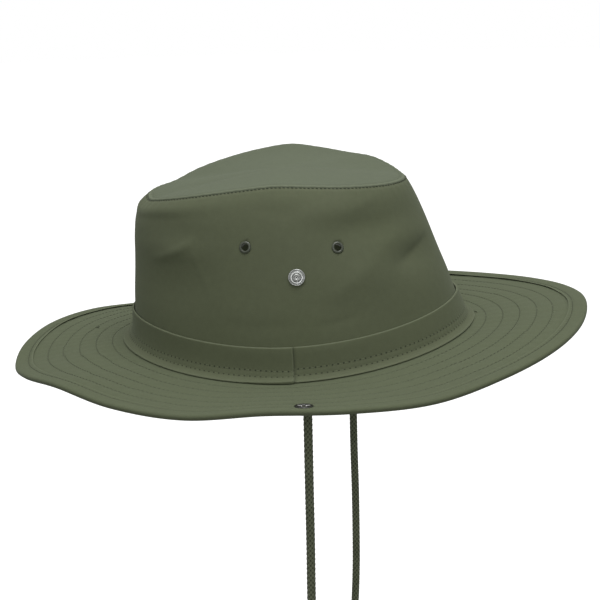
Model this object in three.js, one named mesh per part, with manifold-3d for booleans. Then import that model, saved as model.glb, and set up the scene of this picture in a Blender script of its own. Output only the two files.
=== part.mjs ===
// Bush hat: oval crown with a stitched tip, hat band, wide stitched brim, vents,
// a press stud with its brim snap, and a chin cord that hangs as one loop.
// Millimetres, +Z up. The front is -Y and the wearer's left is +X.
// The origin is the middle of the head opening.
import * as THREE from 'three';
import { mergeVertices } from 'three/addons/utils/BufferGeometryUtils.js';
import Module from 'manifold-3d';

const wasm = await Module();
wasm.setup();

// General sizes
const PITCH_DEG = 3; // worn with the front a little low
const GAP = 0.3; // clear space between neighbouring pieces
const CLOTH = 1.4; // crown wall and tip
const STEPS_AROUND = 60;

// Crown base oval at the brim, outer face
const BASE_FRONT = 104;
const BASE_REAR = 108.5;
const BASE_SIDE = 88;
const BASE_EGG = 0.06; // narrower at the front, wider at the back
const BASE_LEAN = 1.05; // a little slimmer on the diagonals than an ellipse

// Crown tip oval, outer seam
const TIP_FRONT = 86.5;
const TIP_REAR = 75;
const TIP_SIDE = 52;
const TIP_EGG = 0.03;
const CROWN_HEIGHT = 103; // tip seam at the left side, above the brim
const TIP_MIDDLE = 106; // middle of the tip, above the brim
const TIP_ROLL = 0.5; // puff just inside the tip seam
const TIP_ROLL_RIGHT = 2.4; // extra puff along the right side

// The crown's lower line is arched: high at front and back, low at the sides
const ARCH = 4.3;

// Brim
const BRIM_FRONT = 180.2;
const BRIM_REAR = 182;
const BRIM_SIDE = 163.3;
const BRIM_EGG = 0.03;
const BRIM_LEAN = 1.026;
const BRIM_THICK = 1.6;
const BRIM_DISH = 1.12; // over 1 the brim lies flatter near the root
const BRIM_WAVE = 10; // scale of the edge heights below
const ROOT_RISE = 6.5; // turned-up root under the band
const ROOT_FRONT = 7.8; // reach of the root at the front and at the rear
const ROOT_REAR = 5;

// Hem strip folded round the edge
const HEM_WIDTH = 9.6;
const HEM_THICK = 0.6;

// Hat band
const BAND_FRONT = 20.6; // height of the band at the front and at the rear
const BAND_REAR = 18.9;
const BAND_THICK = 1.2;
const BAND_CREASE = 1.8; // start of the straight part above the root
const FLANGE_REACH = 0.92; // share of the root's reach that the band's lower edge covers
const JOIN_DEG = 94.8;
const JOIN_LAP_DEG = 16;
const JOIN_STEP = 0.9;

// Soft dents of the wall
const DENT = 3;

// Vents
const EYELET_RADIUS = 3.65;
const EYELET_BORE = 2;
const EYELET_TUBE = 0.45;
const EYELET_THICK = 0.7;
const HARDWARE_GAP = 0.55;

// Press stud on the crown, and the brim snap
const STUD_RADIUS = 5;
const STUD_THICK = 0.8;
const STUD_POST = 1.9;
const STUD_POST_RISE = 2.2;
const STEM_RADIUS = 1.5;
const SNAP_RADIUS = 5.2;
const SNAP_BORE = 2.6;
const SNAP_RISE = 0.9;
const SNAP_BACK = 22.5; // behind the middle of the head opening
const SNAP_INSET = 9; // from the brim's edge to the snap's middle
const CAP_RADIUS = 5.4;
const CAP_THICK = 1;

// Chin cord
const CORD_DIAMETER = 5;
const CORD_LEFT_Y = 15;
const CORD_RIGHT_Y = 30;
const CORD_SIDES = 8;
const CORD_STEPS = 64;
const TAB_WIDTH = 9;
const TAB_THICK = 3.2;
const TAB_TALL = 10;
const TAB_FOOT = 7.5; // foot of the tab above the brim

// Route of the chin cord between its two tabs, from the wearer's left to the right:
// down, round the bottom of the loop and up again
const CORD_ROUTE = [
  { x: 80.2, y: 14.3, z: -18 },
  { x: 80.2, y: 14.2, z: -48 },
  { x: 80, y: 14.1, z: -78 },
  { x: 79.4, y: 14, z: -108 },
  { x: 78, y: 13.6, z: -138 },
  { x: 75.3, y: 13.2, z: -168 },
  { x: 70, y: 13.2, z: -198 },
  { x: 60.5, y: 14, z: -226 },
  { x: 45, y: 16, z: -249 },
  { x: 24.5, y: 19, z: -264 },
  { x: 1.5, y: 22.5, z: -269 },
  { x: -21.5, y: 25.8, z: -264 },
  { x: -42, y: 28.5, z: -249 },
  { x: -57.5, y: 30.4, z: -226 },
  { x: -67, y: 31.3, z: -198 },
  { x: -72.2, y: 31.3, z: -168 },
  { x: -75, y: 31, z: -138 },
  { x: -76.4, y: 30.4, z: -108 },
  { x: -77, y: 30.2, z: -78 },
  { x: -77.1, y: 30, z: -48 },
  { x: -77.1, y: 29.7, z: -18 },
];

// Wall profile: share of the height, then share of the way in to the tip seam
// at the front, at the sides and at the rear. inner says whether the inner face
// keeps the row too, here and in the tables below.
const WALL_ROWS = [
  { up: 0.0, front: 0.0, side: 0.0, rear: 0.0, inner: true },
  { up: 0.11, front: 0.065, side: 0.06, rear: 0.11, inner: false },
  { up: 0.22, front: 0.125, side: 0.125, rear: 0.215, inner: false },
  { up: 0.34, front: 0.18, side: 0.21, rear: 0.315, inner: true },
  { up: 0.48, front: 0.26, side: 0.33, rear: 0.45, inner: true },
  { up: 0.62, front: 0.335, side: 0.46, rear: 0.58, inner: true },
  { up: 0.76, front: 0.41, side: 0.6, rear: 0.71, inner: true },
  { up: 0.88, front: 0.52, side: 0.75, rear: 0.835, inner: true },
  { up: 0.955, front: 0.68, side: 0.88, rear: 0.93, inner: true },
  { up: 1.0, front: 1.0, side: 1.0, rear: 1.0, inner: true },
];

// Around the hat every 15 degrees from the front over the wearer's left:
// edge is the brim edge height as a share of BRIM_WAVE, seam the tip seam
// height as a share of CROWN_HEIGHT.
const ROUND_ROWS = [
  { edge: -0.09, seam: 0.922 },
  { edge: -0.27, seam: 0.905 },
  { edge: 0.24, seam: 0.918 },
  { edge: 0.69, seam: 0.938 },
  { edge: 0.26, seam: 0.962 },
  { edge: 0.05, seam: 0.985 },
  { edge: 0.37, seam: 1 },
  { edge: 0.14, seam: 0.985 },
  { edge: -0.06, seam: 0.964 },
  { edge: 0.33, seam: 0.947 },
  { edge: 0.67, seam: 0.934 },
  { edge: 0.94, seam: 0.928 },
  { edge: 1.18, seam: 0.928 },
  { edge: 0.9, seam: 0.93 },
  { edge: 0.5, seam: 0.96 },
  { edge: 0.14, seam: 0.998 },
  { edge: -0.08, seam: 1.018 },
  { edge: -0.13, seam: 1.05 },
  { edge: -0.15, seam: 1.08 },
  { edge: -0.4, seam: 1.062 },
  { edge: -0.92, seam: 1.03 },
  { edge: -0.6, seam: 0.988 },
  { edge: -0.05, seam: 0.94 },
  { edge: 0.12, seam: 0.93 },
];

// Dents and ridges of the wall. along is a share of BASE_REAR toward the back,
// up a share of CROWN_HEIGHT, long and tall their half sizes as the same
// shares, deep a share of DENT, in if positive.
const DENT_ROWS = [
  { side: 1, along: -0.6, up: 0.47, long: 0.2, tall: 0.15, deep: 0.6 },
  { side: 1, along: -0.64, up: 0.8, long: 0.18, tall: 0.1, deep: 0.5 },
  { side: 1, along: -0.56, up: 0.66, long: 0.14, tall: 0.06, deep: -0.35 },
  { side: 1, along: 0.5, up: 0.74, long: 0.2, tall: 0.09, deep: 0.8 },
  { side: 1, along: 0.28, up: 0.86, long: 0.14, tall: 0.07, deep: -0.35 },
  { side: 1, along: 0.72, up: 0.53, long: 0.1, tall: 0.08, deep: 0.85 },
  { side: 1, along: 0.46, up: 0.48, long: 0.2, tall: 0.12, deep: -0.45 },
  { side: -1, along: -0.35, up: 0.7, long: 0.22, tall: 0.13, deep: 0.7 },
  { side: -1, along: 0.4, up: 0.6, long: 0.22, tall: 0.15, deep: 0.6 },
];

// Tip rings as shares from the middle to the seam
const TIP_ROWS = [
  { share: 0.28, inner: false },
  { share: 0.54, inner: true },
  { share: 0.76, inner: false },
  { share: 0.88, inner: true },
  { share: 0.96, inner: false },
  { share: 1.0, inner: true },
];

// Brim rows past the root, as shares of the way to the hem's inner edge
const BRIM_ROWS = [
  { share: 0.25, inner: false },
  { share: 0.52, inner: true },
  { share: 0.78, inner: false },
  { share: 1.0, inner: true },
];

// Section of the turned-up root: reach is a share of its reach, rise a share
// of ROOT_RISE.
const ROOT_ROWS = [
  { reach: 0.0, rise: 1.0, inner: true },
  { reach: 0.08, rise: 0.64, inner: false },
  { reach: 0.27, rise: 0.33, inner: true },
  { reach: 0.56, rise: 0.12, inner: false },
  { reach: 1.0, rise: 0.06, inner: true },
];

// Where the vents and the stud sit: along is a share of BASE_REAR toward the
// back, up a share of CROWN_HEIGHT.
const VENTS = [
  { name: 'eyelet_left_front', side: 1, along: -0.162, up: 0.693 },
  { name: 'eyelet_left_rear', side: 1, along: 0.33, up: 0.657 },
  { name: 'eyelet_right_front', side: -1, along: -0.162, up: 0.71 },
  { name: 'eyelet_right_rear', side: -1, along: 0.33, up: 0.68 },
];
const STUD_PLACE = { side: 1, along: 0.11, up: 0.521 };

const TAU = Math.PI * 2;
const rad = (deg) => (deg * Math.PI) / 180;
const vec = (x, y, z) => new THREE.Vector3(x, y, z);
const mix = (a, b, t) => a + (b - a) * t;

// Smooth periodic value of one column of a table spread evenly round the hat
function round(rows, key, phi) {
  const n = rows.length;
  const u = (((phi / TAU) % 1) + 1) % 1;
  const i = Math.floor(u * n);
  const t = u * n - i;
  const at = (k) => rows[(((i + k) % n) + n) % n][key];
  const [a, b, c, d] = [at(-1), at(0), at(1), at(2)];
  const slope1 = (c - a) / 2;
  const slope2 = (d - b) / 2;
  const t2 = t * t;
  const t3 = t2 * t;
  return (
    b * (2 * t3 - 3 * t2 + 1) + slope1 * (t3 - 2 * t2 + t) + c * (3 * t2 - 2 * t3) + slope2 * (t3 - t2)
  );
}

// Value of a column of a table that runs upward, straight between its rows
function rise(rows, at, key, value) {
  for (let i = 1; i < rows.length; i += 1) {
    if (value <= rows[i][at] || i === rows.length - 1) {
      const t = (value - rows[i - 1][at]) / (rows[i][at] - rows[i - 1][at]);
      return mix(rows[i - 1][key], rows[i][key], t);
    }
  }
  return 0;
}

// Plan oval: phi is 0 at the front and turns over the wearer's left
function oval(phi, front, rear, side, egg, lean) {
  const bend = (v) => Math.sign(v) * Math.pow(Math.abs(v), lean);
  const c = bend(Math.cos(phi));
  const s = bend(Math.sin(phi));
  return vec(side * s * (1 - egg * Math.cos(phi)), c > 0 ? -front * c : -rear * c, 0);
}
const baseOval = (phi) => oval(phi, BASE_FRONT, BASE_REAR, BASE_SIDE, BASE_EGG, BASE_LEAN);
const tipOval = (phi) => oval(phi, TIP_FRONT, TIP_REAR, TIP_SIDE, TIP_EGG, 1);
const brimOval = (phi, grow = 0) =>
  oval(phi, BRIM_FRONT + grow, BRIM_REAR + grow, BRIM_SIDE + grow, BRIM_EGG, BRIM_LEAN);

// Height of the crown's lower line, and of the brim's edge
const archAt = (phi) => ARCH * Math.cos(2 * phi);
const edgeAt = (phi) => BRIM_WAVE * round(ROUND_ROWS, 'edge', phi);
const seamAt = (phi) => CROWN_HEIGHT * round(ROUND_ROWS, 'seam', phi);

const frontToRear = (phi, front, rear) => mix(rear, front, (1 + Math.cos(phi)) / 2);

// Outer face of the wall at a share of its height
function wallPoint(phi, up) {
  const c = Math.cos(phi);
  const front = c > 0 ? c * c : 0;
  const rear = c < 0 ? c * c : 0;
  const side = 1 - front - rear;
  const inset =
    front * rise(WALL_ROWS, 'up', 'front', up) +
    side * rise(WALL_ROWS, 'up', 'side', up) +
    rear * rise(WALL_ROWS, 'up', 'rear', up);
  const p = baseOval(phi).lerp(tipOval(phi), inset);
  p.z = mix(archAt(phi), seamAt(phi), up);
  const outward = planNormal(phi, baseOval);
  let push = 0;
  for (const d of DENT_ROWS) {
    if (d.side * p.x <= 0) continue;
    const u = (p.y / BASE_REAR - d.along) / d.long;
    const v = (p.z / CROWN_HEIGHT - d.up) / d.tall;
    push -= d.deep * DENT * Math.exp(-u * u - v * v) * Math.min(1, Math.abs(p.x) / 20);
  }
  return p.addScaledVector(outward, push * Math.min(1, (1 - up) / 0.1));
}

function planNormal(phi, curve) {
  const a = curve(phi - 0.01);
  const b = curve(phi + 0.01);
  return vec(b.y - a.y, a.x - b.x, 0).normalize();
}

// Parallel to a section line, a distance off on the side that faces out
function offsetLine(line, out, distance) {
  const around = vec(-out.y, out.x, 0);
  const faces = line.slice(1).map((p, j) => {
    const run = p.clone().sub(line[j]).normalize();
    const face = around.clone().cross(run).normalize();
    return face.dot(out) + face.z < 0 ? face.negate() : face;
  });
  return line.map((p, j) => {
    const a = faces[Math.max(j - 1, 0)];
    const b = faces[Math.min(j, faces.length - 1)];
    const turn = a.clone().add(b).divideScalar(1 + a.dot(b));
    return p.clone().addScaledVector(turn, distance);
  });
}

// Wall share of height that lies a given height above the crown's lower line
const upFor = (phi, height) => height / (seamAt(phi) - archAt(phi));

// Outer face of the tip
function tipPoint(phi, share) {
  const p = tipOval(phi).multiplyScalar(share);
  const roll = TIP_ROLL + TIP_ROLL_RIGHT * Math.pow(Math.max(0, -Math.sin(phi)), 1.5);
  const puff = 2.75 * Math.pow(share, 6) * (1 - Math.pow(share, 12));
  p.z = mix(TIP_MIDDLE, seamAt(phi), Math.pow(share, 1.3)) + roll * puff;
  return p;
}

const PHIS = Array.from({ length: STEPS_AROUND }, (_, i) => (i / STEPS_AROUND) * TAU);

// Surface normal of a grid of points [around][row], pointing out of the cloth
function gridNormals(grid, closed = true) {
  const n = grid.length;
  return grid.map((column, i) =>
    column.map((p, j) => {
      const next = closed ? (i + 1) % n : Math.min(i + 1, n - 1);
      const prev = closed ? (i + n - 1) % n : Math.max(i - 1, 0);
      const along = grid[next][j].clone().sub(grid[prev][j]);
      const up = column[Math.min(j + 1, column.length - 1)]
        .clone()
        .sub(column[Math.max(j - 1, 0)]);
      return along.cross(up).normalize();
    }),
  );
}

// Closed ring solid from one closed section per station
function ringSolid(sections) {
  const n = sections.length;
  const k = sections[0].length;
  const positions = [];
  for (const section of sections) for (const p of section) positions.push(p.x, p.y, p.z);
  const index = [];
  for (let i = 0; i < n; i += 1) {
    const a = i * k;
    const b = ((i + 1) % n) * k;
    for (let j = 0; j < k; j += 1) {
      const m = (j + 1) % k;
      index.push(a + j, b + j, b + m, a + j, b + m, a + m);
    }
  }
  return finish(positions, index);
}

// Closed disc solid: rings from the middle outward for the outer and inner face
function discSolid(outer, inner, outerMiddle, innerMiddle) {
  const n = outer.length;
  const k = outer[0].length;
  const m = inner[0].length;
  const positions = [];
  for (const face of [outer, inner]) {
    for (const column of face) for (const p of column) positions.push(p.x, p.y, p.z);
  }
  const top = positions.length / 3;
  positions.push(outerMiddle.x, outerMiddle.y, outerMiddle.z);
  positions.push(innerMiddle.x, innerMiddle.y, innerMiddle.z);
  const index = [];
  for (let i = 0; i < n; i += 1) {
    const a = i * k;
    const b = ((i + 1) % n) * k;
    const c = n * k + i * m;
    const d = n * k + ((i + 1) % n) * m;
    index.push(top, a, b);
    index.push(top + 1, d, c);
    for (let j = 0; j + 1 < k; j += 1) {
      index.push(a + j, a + j + 1, b + j + 1, a + j, b + j + 1, b + j);
    }
    for (let j = 0; j + 1 < m; j += 1) {
      index.push(c + j, d + j + 1, c + j + 1, c + j, d + j, d + j + 1);
    }
    index.push(a + k - 1, c + m - 1, d + m - 1, a + k - 1, d + m - 1, b + k - 1);
  }
  return finish(positions, index);
}

function finish(positions, index) {
  const g = new THREE.BufferGeometry();
  g.setAttribute('position', new THREE.Float32BufferAttribute(positions, 3));
  g.setIndex(index);
  return outwards(g);
}

// Turns the triangles round if the solid came out inside out
function outwards(g) {
  const p = g.getAttribute('position');
  const index = Array.from(g.index.array);
  const [a, b, c] = [vec(0, 0, 0), vec(0, 0, 0), vec(0, 0, 0)];
  let volume = 0;
  for (let i = 0; i < index.length; i += 3) {
    a.fromBufferAttribute(p, index[i]);
    b.fromBufferAttribute(p, index[i + 1]);
    c.fromBufferAttribute(p, index[i + 2]);
    volume += a.dot(b.cross(c));
  }
  if (volume < 0) {
    for (let i = 0; i < index.length; i += 3) {
      [index[i + 1], index[i + 2]] = [index[i + 2], index[i + 1]];
    }
    g.setIndex(index);
  }
  return g;
}

function toSolid(geometry) {
  const g = geometry.clone();
  for (const name of Object.keys(g.attributes)) if (name !== 'position') g.deleteAttribute(name);
  const merged = mergeVertices(g, 1e-4);
  return new wasm.Manifold(
    new wasm.Mesh({
      numProp: 3,
      vertProperties: new Float32Array(merged.getAttribute('position').array),
      triVerts: new Uint32Array(merged.index.array),
    }),
  );
}

function fromSolid(solid) {
  const mesh = solid.getMesh();
  const g = new THREE.BufferGeometry();
  const points = new Float32Array((mesh.vertProperties.length / mesh.numProp) * 3);
  for (let i = 0; i < points.length / 3; i += 1) {
    for (let k = 0; k < 3; k += 1) points[i * 3 + k] = mesh.vertProperties[i * mesh.numProp + k];
  }
  g.setAttribute('position', new THREE.BufferAttribute(points, 3));
  g.setIndex(Array.from(mesh.triVerts));
  return g;
}

// Solid of revolution about an axis that leaves the cloth at a point.
// The section is a closed list of [radius, height] pairs.
function turned(section, steps, place) {
  const sections = [];
  const axis = place.normal;
  const side = Math.abs(axis.z) < 0.9 ? vec(0, 0, 1) : vec(0, 1, 0);
  const u = side.clone().cross(axis).normalize();
  const v = axis.clone().cross(u);
  for (let i = 0; i < steps; i += 1) {
    const a = (i / steps) * TAU;
    const out = u.clone().multiplyScalar(Math.cos(a)).addScaledVector(v, Math.sin(a));
    sections.push(
      section.map(([r, h]) => place.point.clone().addScaledVector(out, r).addScaledVector(axis, h)),
    );
  }
  return ringSolid(sections);
}

// The same for a section that starts and ends on the axis
function turnedSolid(section, steps, place) {
  const axis = place.normal;
  const side = Math.abs(axis.z) < 0.9 ? vec(0, 0, 1) : vec(0, 1, 0);
  const u = side.clone().cross(axis).normalize();
  const v = axis.clone().cross(u);
  const inner = section.slice(1, -1);
  const k = inner.length;
  const positions = [];
  for (let i = 0; i < steps; i += 1) {
    const a = (i / steps) * TAU;
    const out = u.clone().multiplyScalar(Math.cos(a)).addScaledVector(v, Math.sin(a));
    for (const [r, h] of inner) {
      const p = place.point.clone().addScaledVector(out, r).addScaledVector(axis, h);
      positions.push(p.x, p.y, p.z);
    }
  }
  const first = positions.length / 3;
  for (const [, h] of [section[0], section[section.length - 1]]) {
    const p = place.point.clone().addScaledVector(axis, h);
    positions.push(p.x, p.y, p.z);
  }
  const index = [];
  for (let i = 0; i < steps; i += 1) {
    const a = i * k;
    const b = ((i + 1) % steps) * k;
    index.push(first, b, a);
    index.push(first + 1, a + k - 1, b + k - 1);
    for (let j = 0; j + 1 < k; j += 1) {
      index.push(a + j, b + j, b + j + 1, a + j, b + j + 1, a + j + 1);
    }
  }
  return finish(positions, index);
}

// Where a line meets a solid, and which way its face looks there
function meet(geometry, from, towards) {
  const mesh = new THREE.Mesh(geometry, new THREE.MeshBasicMaterial({ side: THREE.DoubleSide }));
  const caster = new THREE.Raycaster(from, towards.clone().normalize());
  const hit = caster.intersectObject(mesh)[0];
  return { point: hit.point, normal: hit.face.normal.clone() };
}

// Wall and tip share the direction of their cut edges along the seam
const wallOuter = PHIS.map((phi) => {
  const foot = upFor(phi, ROOT_RISE + GAP);
  return WALL_ROWS.map((row) => wallPoint(phi, mix(foot, 1, row.up)));
});
const tipOuter = PHIS.map((phi) => TIP_ROWS.map((row) => tipPoint(phi, row.share)));
const topRow = WALL_ROWS.length - 1;
const tipEdge = TIP_ROWS.length - 1;
const seams = PHIS.map((phi, i) => {
  const across = tipOuter[i][tipEdge - 1].clone().sub(wallOuter[i][topRow - 1]).normalize();
  const next = wallOuter[(i + 1) % STEPS_AROUND][topRow];
  const prev = wallOuter[(i + STEPS_AROUND - 1) % STEPS_AROUND][topRow];
  const along = next.clone().sub(prev).normalize();
  const normal = along.clone().cross(across).normalize();
  return { across: normal.clone().cross(along).normalize(), normal };
});
const wallNormals = gridNormals(wallOuter);
const flip = (grid) => grid.map((column) => [...column].reverse());
const tipNormals = flip(gridNormals(flip(tipOuter)));
PHIS.forEach((phi, i) => {
  const { across, normal } = seams[i];
  wallOuter[i][topRow].addScaledVector(across, -GAP / 2);
  tipOuter[i][tipEdge].addScaledVector(across, GAP / 2);
  wallNormals[i][topRow] = normal.clone();
  tipNormals[i][tipEdge] = normal.clone();
  wallNormals[i][0] = planNormal(phi, baseOval);
});
const inward = (points, normals, thick) =>
  points.map((p, j) => p.clone().addScaledVector(normals[j], -thick));
const kept = (column, rows) => column.filter((_, j) => rows[j].inner);
const wallInner = wallOuter.map((column, i) => inward(column, wallNormals[i], CLOTH));
const tipInner = tipOuter.map((column, i) =>
  kept(inward(column, tipNormals[i], CLOTH), TIP_ROWS),
);

const wallPlain = ringSolid(
  wallOuter.map((column, i) => [...column, ...kept(wallInner[i], WALL_ROWS).reverse()]),
);
const middle = vec(0, 0, TIP_MIDDLE);
const tip = discSolid(tipOuter, tipInner, middle, vec(0, 0, TIP_MIDDLE - CLOTH));

// Brim: turned-up root, then out to the hem
const brimEdge = (phi) => brimOval(phi, -(HEM_THICK + GAP));
function rootPoint(phi, share) {
  const foot = wallPoint(phi, upFor(phi, ROOT_RISE));
  const reach = frontToRear(phi, ROOT_FRONT, ROOT_REAR);
  const end = baseOval(phi).addScaledVector(planNormal(phi, baseOval), reach);
  const p = foot.lerp(end, share);
  p.z = archAt(phi) + ROOT_RISE * rise(ROOT_ROWS, 'reach', 'rise', share);
  return p;
}
function brimTop(phi) {
  const points = ROOT_ROWS.map((row) => rootPoint(phi, row.reach));
  const start = points[points.length - 1].clone();
  const end = brimEdge(phi);
  end.z = edgeAt(phi) + BRIM_THICK / 2;
  const way = end.clone().sub(start).setZ(0).length();
  const toHem = 1 - (HEM_WIDTH + GAP) / way;
  for (const share of [...BRIM_ROWS.map((row) => row.share * toHem), 1]) {
    const p = start.clone().lerp(end, share);
    p.z = mix(start.z, end.z, Math.pow(share, BRIM_DISH));
    points.push(p);
  }
  return points;
}
const BRIM_PROFILE = [...ROOT_ROWS, ...BRIM_ROWS, { inner: true }];
const brimOuter = PHIS.map(brimTop);
const brimNormals = flip(gridNormals(flip(brimOuter)));
PHIS.forEach((phi, i) => {
  brimNormals[i][0] = planNormal(phi, baseOval);
  const last = brimOuter[i].length - 1;
  const flat = brimNormals[i][last];
  flat.copy(brimNormals[i][last - 1]);
});
const brimInner = brimOuter.map((column, i) => inward(column, brimNormals[i], BRIM_THICK));
const brimPlain = ringSolid(
  brimOuter.map((column, i) => [...column, ...kept(brimInner[i], BRIM_PROFILE).reverse()]),
);

// Hem strip: wraps the last part of the brim, top and underside
function hemSection(i) {
  const phi = PHIS[i];
  const rows = brimOuter[i];
  const last = rows.length - 1;
  const edge = rows[last];
  const run = rows[last - 1].clone().sub(edge).normalize();
  const normal = brimNormals[i][last];
  const out = planNormal(phi, brimOval);
  const clear = GAP;
  const far = clear + HEM_THICK;
  const start = edge.clone().addScaledVector(run, HEM_WIDTH);
  const low = edge.clone().addScaledVector(normal, -BRIM_THICK);
  const lowStart = start.clone().addScaledVector(normal, -BRIM_THICK);
  const at = (p, n, o) => p.clone().addScaledVector(normal, n).addScaledVector(out, o);
  return [
    at(start, clear, 0),
    at(edge, clear, clear),
    at(low, -clear, clear),
    at(lowStart, -clear, 0),
    at(lowStart, -far, 0),
    at(low, -far, 0),
    at(low, -0.1, far),
    at(edge, 0.1, far),
    at(edge, far, 0),
    at(start, far, 0),
  ];
}
const hemPlain = ringSolid(PHIS.map((_, i) => hemSection(i)));

// Hat band: hugs the wall, then follows the root out to a free lower edge.
// At the join the front end laps over the rear end.
const joinAt = rad(JOIN_DEG);
const lap = rad(JOIN_LAP_DEG);
const bandPhis = [...PHIS.filter((phi) => Math.abs(phi - joinAt) > 0.02), joinAt - 0.006, joinAt + 0.006];
bandPhis.sort((a, b) => a - b);
function bandSection(phi) {
  const lift = phi < joinAt && phi > joinAt - lap ? JOIN_STEP * ((phi - joinAt + lap) / lap) : 0;
  const out = planNormal(phi, baseOval);
  const onWall = (height) => wallPoint(phi, upFor(phi, height));
  const line = [
    rootPoint(phi, FLANGE_REACH + lift * 0.06),
    rootPoint(phi, 0.56),
    rootPoint(phi, 0.27),
    rootPoint(phi, 0.08),
    onWall(ROOT_RISE + BAND_CREASE),
    onWall(frontToRear(phi, BAND_FRONT, BAND_REAR)),
  ];
  const near = GAP + 0.1;
  const far = near + BAND_THICK;
  return [
    ...offsetLine(line, out, near),
    ...offsetLine(line, out, far + lift).reverse(),
  ];
}
const band = ringSolid(bandPhis.map(bandSection));

// Vents: a rolled ring through the wall
function wallPlace(side, along, up, inside = false) {
  const y = along * BASE_REAR;
  const z = up * CROWN_HEIGHT;
  const from = inside ? vec(0, y, z) : vec(side * BASE_SIDE * 2, y, z);
  const hit = meet(wallPlain, from, vec(inside ? side : -side, 0, 0));
  return hit;
}
let wallSolid = toSolid(wallPlain);
const drill = (place, radius, depth, steps) =>
  toSolid(
    turnedSolid(
      [
        [0, depth],
        [radius, depth],
        [radius, -depth],
        [0, -depth],
      ],
      steps,
      place,
    ),
  );
const eyeletTube = EYELET_BORE + EYELET_TUBE;
const eyeletSection = [
  [EYELET_BORE, HARDWARE_GAP + EYELET_THICK * 0.6],
  [EYELET_BORE + 0.5, HARDWARE_GAP + EYELET_THICK],
  [EYELET_RADIUS - 0.4, HARDWARE_GAP + EYELET_THICK],
  [EYELET_RADIUS, HARDWARE_GAP + EYELET_THICK * 0.45],
  [EYELET_RADIUS - 0.1, HARDWARE_GAP],
  [eyeletTube, HARDWARE_GAP],
  [eyeletTube, -CLOTH - HARDWARE_GAP],
  [EYELET_RADIUS - 0.3, -CLOTH - HARDWARE_GAP],
  [EYELET_RADIUS - 0.3, -CLOTH - HARDWARE_GAP - EYELET_THICK],
  [EYELET_BORE, -CLOTH - HARDWARE_GAP - EYELET_THICK],
];
const eyelets = VENTS.map((vent) => {
  const place = wallPlace(vent.side, vent.along, vent.up);
  wallSolid = wallSolid.subtract(drill(place, eyeletTube + GAP, CLOTH * 3, 12));
  return { name: vent.name, geometry: turned(eyeletSection, 14, place) };
});

// Press stud: ringed disc with a post, a stem through the wall and a back disc
const studPlace = wallPlace(STUD_PLACE.side, STUD_PLACE.along, STUD_PLACE.up);
wallSolid = wallSolid.subtract(drill(studPlace, STEM_RADIUS + GAP, CLOTH * 3, 12));
const studTop = HARDWARE_GAP + STUD_THICK;
const stud = turnedSolid(
  [
    [0, HARDWARE_GAP + STUD_POST_RISE],
    [STUD_POST * 0.75, HARDWARE_GAP + STUD_POST_RISE],
    [STUD_POST, HARDWARE_GAP + STUD_POST_RISE * 0.75],
    [STUD_POST * 0.85, studTop],
    [STUD_RADIUS * 0.72, studTop],
    [STUD_RADIUS * 0.84, studTop + STUD_THICK * 0.56],
    [STUD_RADIUS, studTop],
    [STUD_RADIUS, HARDWARE_GAP],
    [STEM_RADIUS, HARDWARE_GAP],
    [STEM_RADIUS, -CLOTH - HARDWARE_GAP],
    [STUD_RADIUS * 0.8, -CLOTH - HARDWARE_GAP],
    [STUD_RADIUS * 0.8, -CLOTH - HARDWARE_GAP - STUD_THICK],
    [0, -CLOTH - HARDWARE_GAP - STUD_THICK],
  ],
  20,
  studPlace,
);
const wall = fromSolid(wallSolid);

// Brim snap: a ring on top of the hem, and a cap under it with the stem
const snapPhi = Math.acos(-SNAP_BACK / BRIM_REAR);
const snapEdge = brimOval(snapPhi);
const snapFrom = snapEdge.clone().addScaledVector(planNormal(snapPhi, brimOval), -SNAP_INSET);
const hemTop = meet(brimPlain, vec(snapFrom.x, snapFrom.y, CROWN_HEIGHT), vec(0, 0, -1));
hemTop.point.addScaledVector(hemTop.normal, GAP + HEM_THICK);
const hemStack = BRIM_THICK + 2 * (GAP + HEM_THICK);
const through = drill(hemTop, STEM_RADIUS + GAP, hemStack * 2, 12);
const hem = fromSolid(toSolid(hemPlain).subtract(through));
const brim = fromSolid(toSolid(brimPlain).subtract(through));
const socketTop = HARDWARE_GAP + SNAP_RISE;
const snapSocket = turned(
  [
    [SNAP_BORE, HARDWARE_GAP],
    [SNAP_BORE, socketTop - SNAP_RISE * 0.2],
    [SNAP_BORE + SNAP_RISE * 0.6, socketTop],
    [SNAP_RADIUS - SNAP_RISE * 0.9, socketTop],
    [SNAP_RADIUS, socketTop - SNAP_RISE * 0.5],
    [SNAP_RADIUS, HARDWARE_GAP],
  ],
  20,
  hemTop,
);
const capFace = -hemStack - HARDWARE_GAP;
const snapCap = turnedSolid(
  [
    [0, HARDWARE_GAP + 0.3],
    [STEM_RADIUS, HARDWARE_GAP + 0.3],
    [STEM_RADIUS, capFace],
    [CAP_RADIUS, capFace],
    [CAP_RADIUS, capFace - CAP_THICK * 0.43],
    [CAP_RADIUS * 0.75, capFace - CAP_THICK * 0.86],
    [0, capFace - CAP_THICK],
  ],
  20,
  hemTop,
);

// Tabs that hold the cord's ends, a gap inside the wall
function tabAt(side, y) {
  const head = -ARCH + TAB_FOOT + TAB_TALL;
  const wallsAt = [-0.5, 0, 0.5].map(
    (share) => Math.abs(meet(wallPlain, vec(0, y + share * TAB_WIDTH, head), vec(side, 0, 0)).point.x),
  );
  const x = side * (Math.min(...wallsAt) - GAP - TAB_THICK / 2);
  const g = new THREE.BoxGeometry(TAB_THICK, TAB_WIDTH, TAB_TALL);
  g.translate(x, y, head - TAB_TALL / 2);
  return { geometry: g, foot: vec(x, y, head - TAB_TALL) };
}
const tabLeft = tabAt(1, CORD_LEFT_Y);
const tabRight = tabAt(-1, CORD_RIGHT_Y);

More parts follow.
